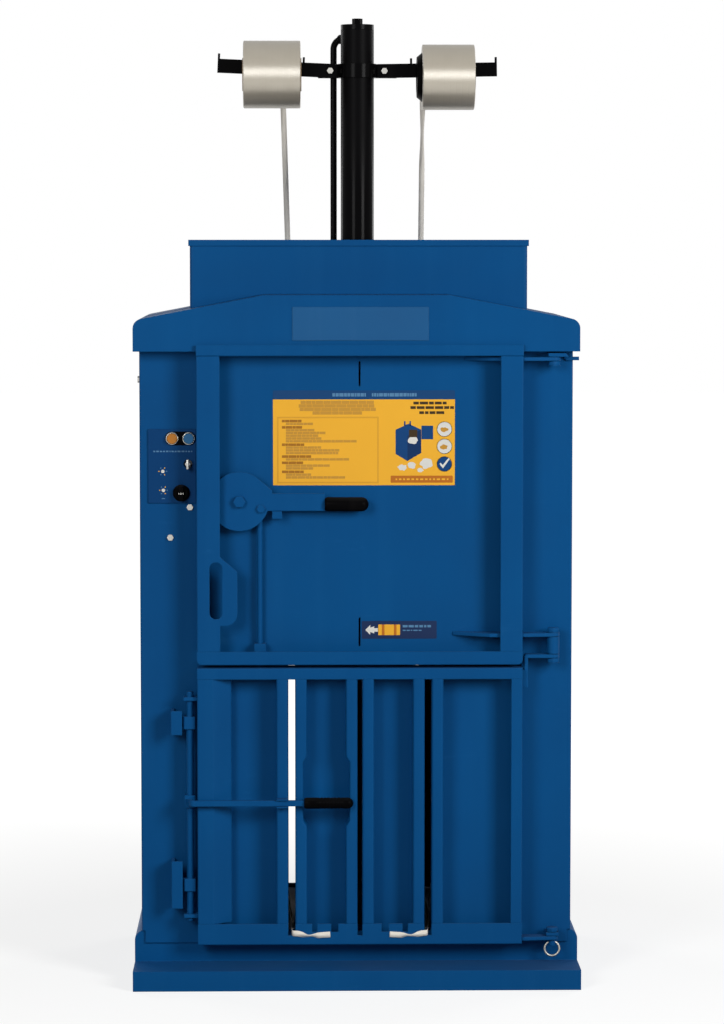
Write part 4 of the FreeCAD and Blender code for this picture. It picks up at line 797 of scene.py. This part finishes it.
def disc(mesh, x, z, radius, front, thickness, ink=0, segments=32):
    """Round plate with its face towards the front."""
    seat = Matrix.Translation((x, front + thickness / 2, z)) @ Matrix.Rotation(math.pi / 2, 4, "X")
    made = bmesh.ops.create_cone(mesh, cap_ends=True, segments=segments, radius1=radius,
                                 radius2=radius, depth=thickness, matrix=seat)
    for face in {face for vert in made["verts"] for face in vert.link_faces}:
        face.material_index = ink


def patch(mesh, points, front, thickness, ink=0):
    """Plate of any outline of (x, z) points, its face towards the front."""
    corners = [mesh.verts.new((x, front + thickness, z)) for x, z in points]
    face = mesh.faces.new(corners)
    grown = bmesh.ops.extrude_face_region(mesh, geom=[face])["geom"]
    lifted = [item for item in grown if isinstance(item, bmesh.types.BMVert)]
    bmesh.ops.translate(mesh, verts=lifted, vec=(0, -thickness, 0))
    around = {near for vert in corners + lifted for near in vert.link_faces}
    bmesh.ops.recalc_face_normals(mesh, faces=list(around))
    for near in around:
        near.material_index = ink


line_draw = random.Random(11)


def dashes(mesh, left, right, low, height, front, ink, longest, gap=0.0022):
    """Row of short marks of uneven length."""
    at = left
    while at < right - longest * shortest_share:
        end = min(at + line_draw.uniform(shortest_share, 1.0) * longest, right)
        field(mesh, at, end, low, low + height, front, vinyl_thickness, 0, ink)
        at = end + gap


def sign_x(column):
    """Place across the sign, in steps from its left edge."""
    return sign_left + column * step_across


def sign_z(row):
    """Place on the sign, in steps down from the foot of its heading."""
    return sign_high - row * step_down


sign = bmesh.new()
sign_front = panel_front - vinyl_thickness
ink_front = sign_front - 2 * ink_lift
top_front = sign_front - 3 * ink_lift


def sign_row(row, left, right, height, ink, longest, gap=print_gap, front=ink_front):
    """Row of marks on the sign, placed by its steps."""
    dashes(sign, sign_x(left), sign_x(right), sign_z(row), height, front, ink, longest, gap)


def sign_field(left, right, low, high, ink, front=ink_front, corner=0.0):
    """Rectangle on the sign, placed by its steps."""
    field(sign, sign_x(left), sign_x(right), sign_z(low), sign_z(high), front, vinyl_thickness,
          corner, ink)


def sign_patch(outline, ink, front=ink_front):
    """Shape on the sign, outlined by its steps."""
    patch(sign, [(sign_x(column), sign_z(row)) for column, row in outline], front,
          vinyl_thickness, ink)


def crumple(column, row, half_width, half_height, ink, front=ink_front, corners=15):
    """Patch with a ragged outline, like a crushed sheet."""
    outline = []
    for step in range(corners):
        turn = math.tau * step / corners
        reach = line_draw.uniform(0.68, 1.0)
        outline.append((column + half_width * reach * math.cos(turn),
                        row - half_height * reach * math.sin(turn)))
    sign_patch(outline, ink, front)


field(sign, sign_left, sign_right, sign_low, heading_high, sign_front, vinyl_thickness, 0.003,
      heading)
field(sign, sign_left, sign_right, sign_low, sign_high, sign_front - ink_lift, vinyl_thickness,
      0.001, yellow)
for left, right in ((60, 94), (100, 146)):
    dashes(sign, sign_x(left), sign_x(right), sign_high + 0.0065, 0.0075, sign_front - ink_lift,
           pale_blue, 0.01, 0.0012)
for row, left, right in ((4.5, 28, 102), (8, 26, 105), (11.5, 27, 104), (15, 40, 90)):
    sign_row(row, left, right, 0.0074, brown, 0.026)
row = 22.6
for lines in paragraph_lines:
    sign_row(row, 9, line_draw.uniform(24, 42), 0.0058, dark_brown, 0.018)
    for line in range(lines):
        row += line_steps
        sign_row(row, 13, line_draw.uniform(36, 92), 0.0055, brown, 0.018)
    row += paragraph_steps
for left, right, low, high in ((4, 107, 83, 81.4), (4, 107, 18.6, 17), (4, 5.6, 81.4, 18.6),
                               (105.4, 107, 81.4, 18.6)):
    sign_field(left, right, low, high, border)
for row, left, right in ((5, 142, 178), (9.5, 139, 183), (14.5, 148, 174)):
    sign_row(row, left, right, 0.0062, black, 0.02, 0.0022)
for outline, ink in (
        ([(124, 30), (136, 36), (136, 61), (124, 54)], sky_blue),
        ([(136, 36), (150, 30), (150, 53), (136, 61)], deep_blue),
        ([(124, 30), (137, 24), (150, 30), (136, 36)], sky_blue),
        ([(150.2, 26), (162, 26), (162, 39.5), (150.2, 39.5)], sky_blue)):
    sign_patch(outline, ink)
for column in (132.5, 138):
    sign_field(column, column + 1.6, 26, 21.5, sky_blue)
sign_field(137.5, 146, 41, 30, black, top_front)
crumple(141, 40.5, 6.0, 4.2, white, top_front - ink_lift)
for column, row, half_width, half_height in ((131, 67.5, 6, 3.6), (140.5, 65.5, 5, 4),
                                             (155.5, 63.5, 7.5, 6), (149, 70, 3.6, 2.4)):
    crumple(column, row, half_width, half_height, white)
for row, ink in ((29.5, white), (46.5, white), (64, sky_blue)):
    disc(sign, sign_x(badge_column), sign_z(row), badge_rim, ink_front + ink_lift,
         vinyl_thickness, brown)
    disc(sign, sign_x(badge_column), sign_z(row), badge_radius, ink_front, vinyl_thickness, ink)
for row in (29.5, 46.5):
    crumple(173, row + 0.5, 4.6, 2.7, brown, top_front)
sign_patch([(168.5, 64), (172, 68.5), (179, 59), (177.6, 58), (171.8, 65), (169.6, 62.6)],
           white, top_front)
sign_field(119, 182, 82.5, 75.5, orange, ink_front, 0.002)
sign_row(79.9, 124, 178, 0.0036, yellow, 0.008, 0.004, top_front)
printed_sign = finished("printed_sign", sign, vinyls, smooth=False)
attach(printed_sign, "feed_door")

label_left = 0.012
label_right = 0.18
label_low = 0.778
label_high = 0.818
box_left = 0.049
box_right = 0.098
box_low = 0.786
box_high = 0.81
stripe_width = 0.006
row_left = 0.104
field_ink, arrow_ink, box_ink, stripe_ink, row_ink = range(5)
label = bmesh.new()
mark_front = sign_front - ink_lift
field(label, label_left, label_right, label_low, label_high, sign_front, vinyl_thickness, 0.002,
      field_ink)
patch(label, [(0.02, 0.798), (0.031, 0.809), (0.031, 0.803), (0.04, 0.806), (0.04, 0.802),
              (0.048, 0.802), (0.048, 0.794), (0.04, 0.794), (0.04, 0.79), (0.031, 0.793),
              (0.031, 0.787)], mark_front, vinyl_thickness, arrow_ink)
field(label, box_left, box_right, box_low, box_high, mark_front, vinyl_thickness, 0.001, box_ink)
for left in (0.057, 0.084):
    field(label, left, left + stripe_width, box_low, box_high, mark_front - ink_lift,
          vinyl_thickness, 0, stripe_ink)
dashes(label, row_left, 0.172, 0.8035, 0.0052, mark_front, row_ink, 0.012)
dashes(label, row_left, 0.15, 0.7955, 0.0026, mark_front, row_ink, 0.01)
arrow_label = finished("arrow_label", label, [
    vinyls[ink] for ink in (navy, white, yellow, orange, pale_blue)], smooth=False)
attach(arrow_label, "feed_door")

# ---- Feed door latch
# Flame cut disc and arm that turn on a stud of the panel, with a moulded grip and a nut in
# front. The disc's crank pin lifts a painted rod out of the bale door's top rail.
coat(blue_enamel, "feed_latch_lever", "feed_latch_fittings", "feed_lift_rod")


def moulded_grip(name, node, body, ribs):
    """Black grip turned along X, waisted near its root, with a domed end and shallow rings."""
    low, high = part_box(node)
    middle = (low + high) / 2
    radius = (high.z - low.z) / 2
    length = high.x - low.x
    profile = [(0, 0.0005), (0, radius * 0.8), (radius * 0.12, radius * 0.92),
               (radius * 0.4, radius)]
    for step in range(ribs):
        at = length * (0.3 + 0.5 * step / ribs)
        profile += [(at, radius), (at + 0.0012, radius * 0.95), (at + 0.003, radius * 0.95),
                    (at + 0.0042, radius)]
    for turn in (math.radians(angle) for angle in (0, 20, 40, 60, 78, 89)):
        profile.append((length - radius * 0.95 * (1 - math.sin(turn)), radius * math.cos(turn)))
    mesh = bmesh.new()
    turned(mesh, profile, (low.x, middle.y, middle.z), (1, 0, 0), 40)
    grip = finished(name, mesh, black_moulding)
    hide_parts(node)
    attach(grip, body)


moulded_grip("latch_hand_grip", "feed_latch_grip", "feed_latch", 0)

# ---- Bale door
# Folded rails and stiles, a slotted sheet and six channel bars beside the slots. The bars are
# folded with soft corners, and the two beside the lever's grip are cut back for the hand.
coat(blue_enamel, "bale_door_rails", "bale_left_plate", "bale_right_stile", "bale_sheet",
     "lever_clip")
bar_low, bar_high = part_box("bale_slot_bars")
bar_lefts = (-0.1795, -0.1375, -0.0245, 0.0125, 0.1255, 0.1675)
bar_width = 0.026
bar_fold = 0.0045
hand_depth = 0.008
hand_low = 0.363
hand_high = 0.519
hand_slope = 0.012
hand_cut = ((0, hand_low), (hand_depth, hand_low + hand_slope),
            (hand_depth, hand_high - hand_slope), (0, hand_high))
bar_left_of_hand = 1
bars = bmesh.new()
for index, left in enumerate(bar_lefts):
    right = left + bar_width
    outline = [(left, bar_low.z), (right, bar_low.z), (right, bar_high.z), (left, bar_high.z)]
    if index == bar_left_of_hand:
        outline[2:2] = [(right - depth, z) for depth, z in hand_cut]
    if index == bar_left_of_hand + 1:
        outline += [(left + depth, z) for depth, z in reversed(hand_cut)]
    corners = [bars.verts.new((x, bar_high.y, z)) for x, z in outline]
    back = bars.faces.new(corners)
    grown = bmesh.ops.extrude_face_region(bars, geom=[back])["geom"]
    front = [item for item in grown if isinstance(item, bmesh.types.BMVert)]
    bmesh.ops.translate(bars, verts=front, vec=(0, bar_low.y - bar_high.y, 0))
    folds = {edge for vert in front for edge in vert.link_edges
             if all(end in front for end in edge.verts)
             and abs(edge.verts[0].co.z - edge.verts[1].co.z) > hand_slope / 2}
    bmesh.ops.bevel(bars, geom=list(folds), offset=bar_fold, segments=5, affect="EDGES",
                    profile=0.5, material=-1)
bmesh.ops.recalc_face_normals(bars, faces=bars.faces)
slot_bars = finished("folded_slot_bars", bars, blue_enamel)
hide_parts("bale_slot_bars")
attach(slot_bars, "bale_door")

# ---- Bale door lock
# Upright steel shaft in bearings on the door, with a cranked lever and two welded hooks that
# catch angle keepers on the left column.
coat(blue_enamel, "lock_shaft", "lock_lever", "lock_bearings", "lock_keepers")
moulded_grip("lock_hand_grip", "lock_grip", "bale_lock", 7)

# ---- Loose tape ends
# The free ends come out of the door's outer slots at its foot, lie in notches of the bottom
# rail, turn towards the middle, twist once and are cut square.
end_z = 0.118
end_y = -0.2762
exit_z = 0.1215
end_points = 24
for side, x, hand in (("left", -0.1455, 1), ("right", 0.1595, -1)):
    line = route_line([
        (x, door_plane_y, exit_z),
        (x, end_y + 0.014, 0.121),
        (x + hand * 0.001, end_y, 0.1205),
        (x + hand * 0.016, end_y - 0.001, 0.1205),
        (x + hand * 0.034, end_y - 0.002, end_z - 0.004),
        (x + hand * 0.052, end_y - 0.001, end_z - 0.002),
        (x + hand * 0.086, end_y, end_z)], end_points)
    loose = tape_along(side + "_loose_end", line, (0, 0, 1),
                       slight_twist(0.07, 0.125, hand * math.radians(56)))
    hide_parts(side + "_tape_end")
    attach(loose, "bale_door")

# ---- Controls
# An enamelled plate on the left column, with two moulded push buttons in chromed collars on one
# gasket, a key in its lock, a rotary switch and small printed marks.
panel_enamel = worn_finish(
    "panel_enamel", (0.004, 0.052, 0.172), (0.004, 0.045, 0.152), blue_rubbed,
    (0.34, 0.46), dust=0.14, wear=0.3, specular_ior_level=0.05)
coat(panel_enamel, "control_panel")
panel_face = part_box("control_panel")[0].y
orange_x = -0.411
blue_x = -0.374
button_z = 1.228
collar_radius = 0.0145
collar_bore = 0.0113
collar_depth = 0.007
gasket_thickness = 0.0003
gasket_half = collar_radius + 0.001
gasket_corner = 0.014

bright_chrome = worn_finish(
    "bright_chrome", (0.72, 0.7, 0.64), (0.6, 0.58, 0.52), (0.3, 0.27, 0.22),
    (0.16, 0.28), dust=0.1, wear=0.3, fold=0.0008, grain_scale=900.0, grain_depth=0.00001,
    metallic=1.0)
collars = bmesh.new()
for x in (orange_x, blue_x):
    turned(collars, [(0, collar_bore), (0, collar_radius), (collar_depth * 0.6, collar_radius),
                     (collar_depth * 0.9, collar_radius - 0.0008),
                     (collar_depth, collar_radius - 0.0018), (collar_depth * 0.9, collar_bore)],
           (x, panel_face, button_z), (0, -1, 0), 48)
button_collars = finished("button_collars", collars, bright_chrome)
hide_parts("button_bezels")
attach(button_collars, "frame")

backing = bmesh.new()
field(backing, orange_x - gasket_half, blue_x + gasket_half, button_z - gasket_half,
      button_z + gasket_half, panel_face - gasket_thickness, gasket_thickness, gasket_corner)
button_backing = finished("button_backing", backing, black_moulding, smooth=False)
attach(button_backing, "frame")


def soft_block(mesh, centre, size, radius, segments):
    """Block with rounded edges."""
    made = bmesh.ops.create_cube(mesh, size=1.0, matrix=(
        Matrix.Translation(centre) @ Matrix.Diagonal((*size, 1))))
    edges = {edge for vert in made["verts"] for edge in vert.link_edges}
    bmesh.ops.bevel(mesh, geom=list(edges), offset=radius, segments=segments, affect="EDGES",
                    profile=0.5, material=-1)


key_x = -0.376
key_z = 1.171
plug_radius = 0.0068
plug_depth = 0.009
plug_rim = 0.007
plug_chamfer = 0.0015
bow_thickness = 0.0062
bow_depth = 0.015
bow_height = 0.022
key = bmesh.new()
turned(key, [(0, 0.0005), (0, plug_radius), (-plug_rim, plug_radius),
             (-plug_depth, plug_radius - plug_chamfer), (-plug_depth, 0.0005)],
       (key_x, panel_face, key_z), (0, 1, 0), 40)
soft_block(key, (key_x, panel_face - plug_depth - bow_depth / 2, key_z),
           (bow_thickness, bow_depth, bow_height), 0.0018, 3)
lock_key = finished("lock_key", key, zinc_plate)
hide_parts("switch_key")
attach(lock_key, "key")

knob_x = -0.391
knob_z = 1.106
knob_radius = 0.019
knob_depth = 0.0125
handle_width = 0.012
handle_depth = 0.012
knob = bmesh.new()
turned(knob, [(0.0005, 0.0005), (0.0005, knob_radius), (0.004, knob_radius),
              (0.006, knob_radius - 0.0015), (knob_depth - 0.002, knob_radius - 0.0025),
              (knob_depth, knob_radius - 0.0045), (knob_depth, 0.0005)],
       (knob_x, panel_face, knob_z), (0, -1, 0), 48)
handle_front = panel_face - knob_depth - handle_depth + 0.001
soft_block(knob, (knob_x, handle_front + handle_depth / 2, knob_z),
           (handle_width, handle_depth, knob_radius * 1.78), 0.003, 4)
switch_knob = finished("switch_knob", knob, black_moulding)
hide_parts("selector_knob")
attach(switch_knob, "selector")

mark_thickness = 0.0004
knob_mark_half = 0.002
pointer = bmesh.new()
for left, right in ((-0.0052, -0.004), (-0.001, 0.001), (0.004, 0.0052)):
    field(pointer, knob_x + left, knob_x + right, knob_z - knob_mark_half,
          knob_z + knob_mark_half, handle_front - mark_thickness / 2, mark_thickness)
knob_marks = finished("knob_marks", pointer, vinyls[white], smooth=False)
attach(knob_marks, "selector")

wheel_radius = 0.004
spoke_count = 6
spoke_reach = 0.0085
spoke_radius = 0.0014
marks = bmesh.new()
marks_front = panel_face - 0.0003
dashes(marks, -0.453, -0.364, 1.1975, 0.0032, marks_front, 0, 0.007)
for x, z in ((-0.4322, 1.1545), (-0.431, 1.112)):
    disc(marks, x, z, wheel_radius, marks_front, mark_thickness, 1, 20)
    for spoke in range(spoke_count):
        turn = spoke * math.tau / spoke_count
        disc(marks, x + spoke_reach * math.cos(turn), z + spoke_reach * math.sin(turn),
             spoke_radius, marks_front, mark_thickness, spoke % 2 * 2, 10)
field(marks, -0.4345, -0.4275, 1.0925, 1.0945, marks_front, mark_thickness)
panel_marks = finished("panel_marks", marks, [vinyls[ink] for ink in (pale_blue, white, yellow)],
                       smooth=False)
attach(panel_marks, "frame")

for name, node, lit, deep, rubbed in (
        ("orange_cap", "orange_button", (0.5, 0.19, 0.024), (0.44, 0.16, 0.02),
         (0.6, 0.3, 0.1)),
        ("blue_cap", "blue_button", (0.034, 0.185, 0.4), (0.028, 0.155, 0.34),
         (0.2, 0.35, 0.5))):
    cap_moulding = worn_finish(
        name, lit, deep, rubbed, (0.28, 0.38), dust=0.1, wear=0.2, fold=0.0015,
        grain_scale=1200.0, grain_depth=0.00001, specular_ior_level=0.2)
    coat(cap_moulding, node)

# ---- Name plate
# Thin plain plate with rounded corners in a lighter enamel, bonded to the middle of the hood's
# front band.
plate_left = -0.143
plate_right = 0.16
plate_low = 1.447
plate_high = 1.522
plate_thickness = 0.0008
hood_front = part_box("hood")[0].y
light_enamel = worn_finish(
    "light_enamel", (0.013, 0.098, 0.255), (0.012, 0.088, 0.232), (0.05, 0.16, 0.33),
    (0.34, 0.44), dust=0.2, wear=0.3, grain_depth=0.00003, specular_ior_level=0.12)
plate = bmesh.new()
field(plate, plate_left, plate_right, plate_low, plate_high, hood_front - plate_thickness,
      plate_thickness, 0.002)
name_plate = finished("name_plate", plate, light_enamel, smooth=False)
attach(name_plate, "frame")
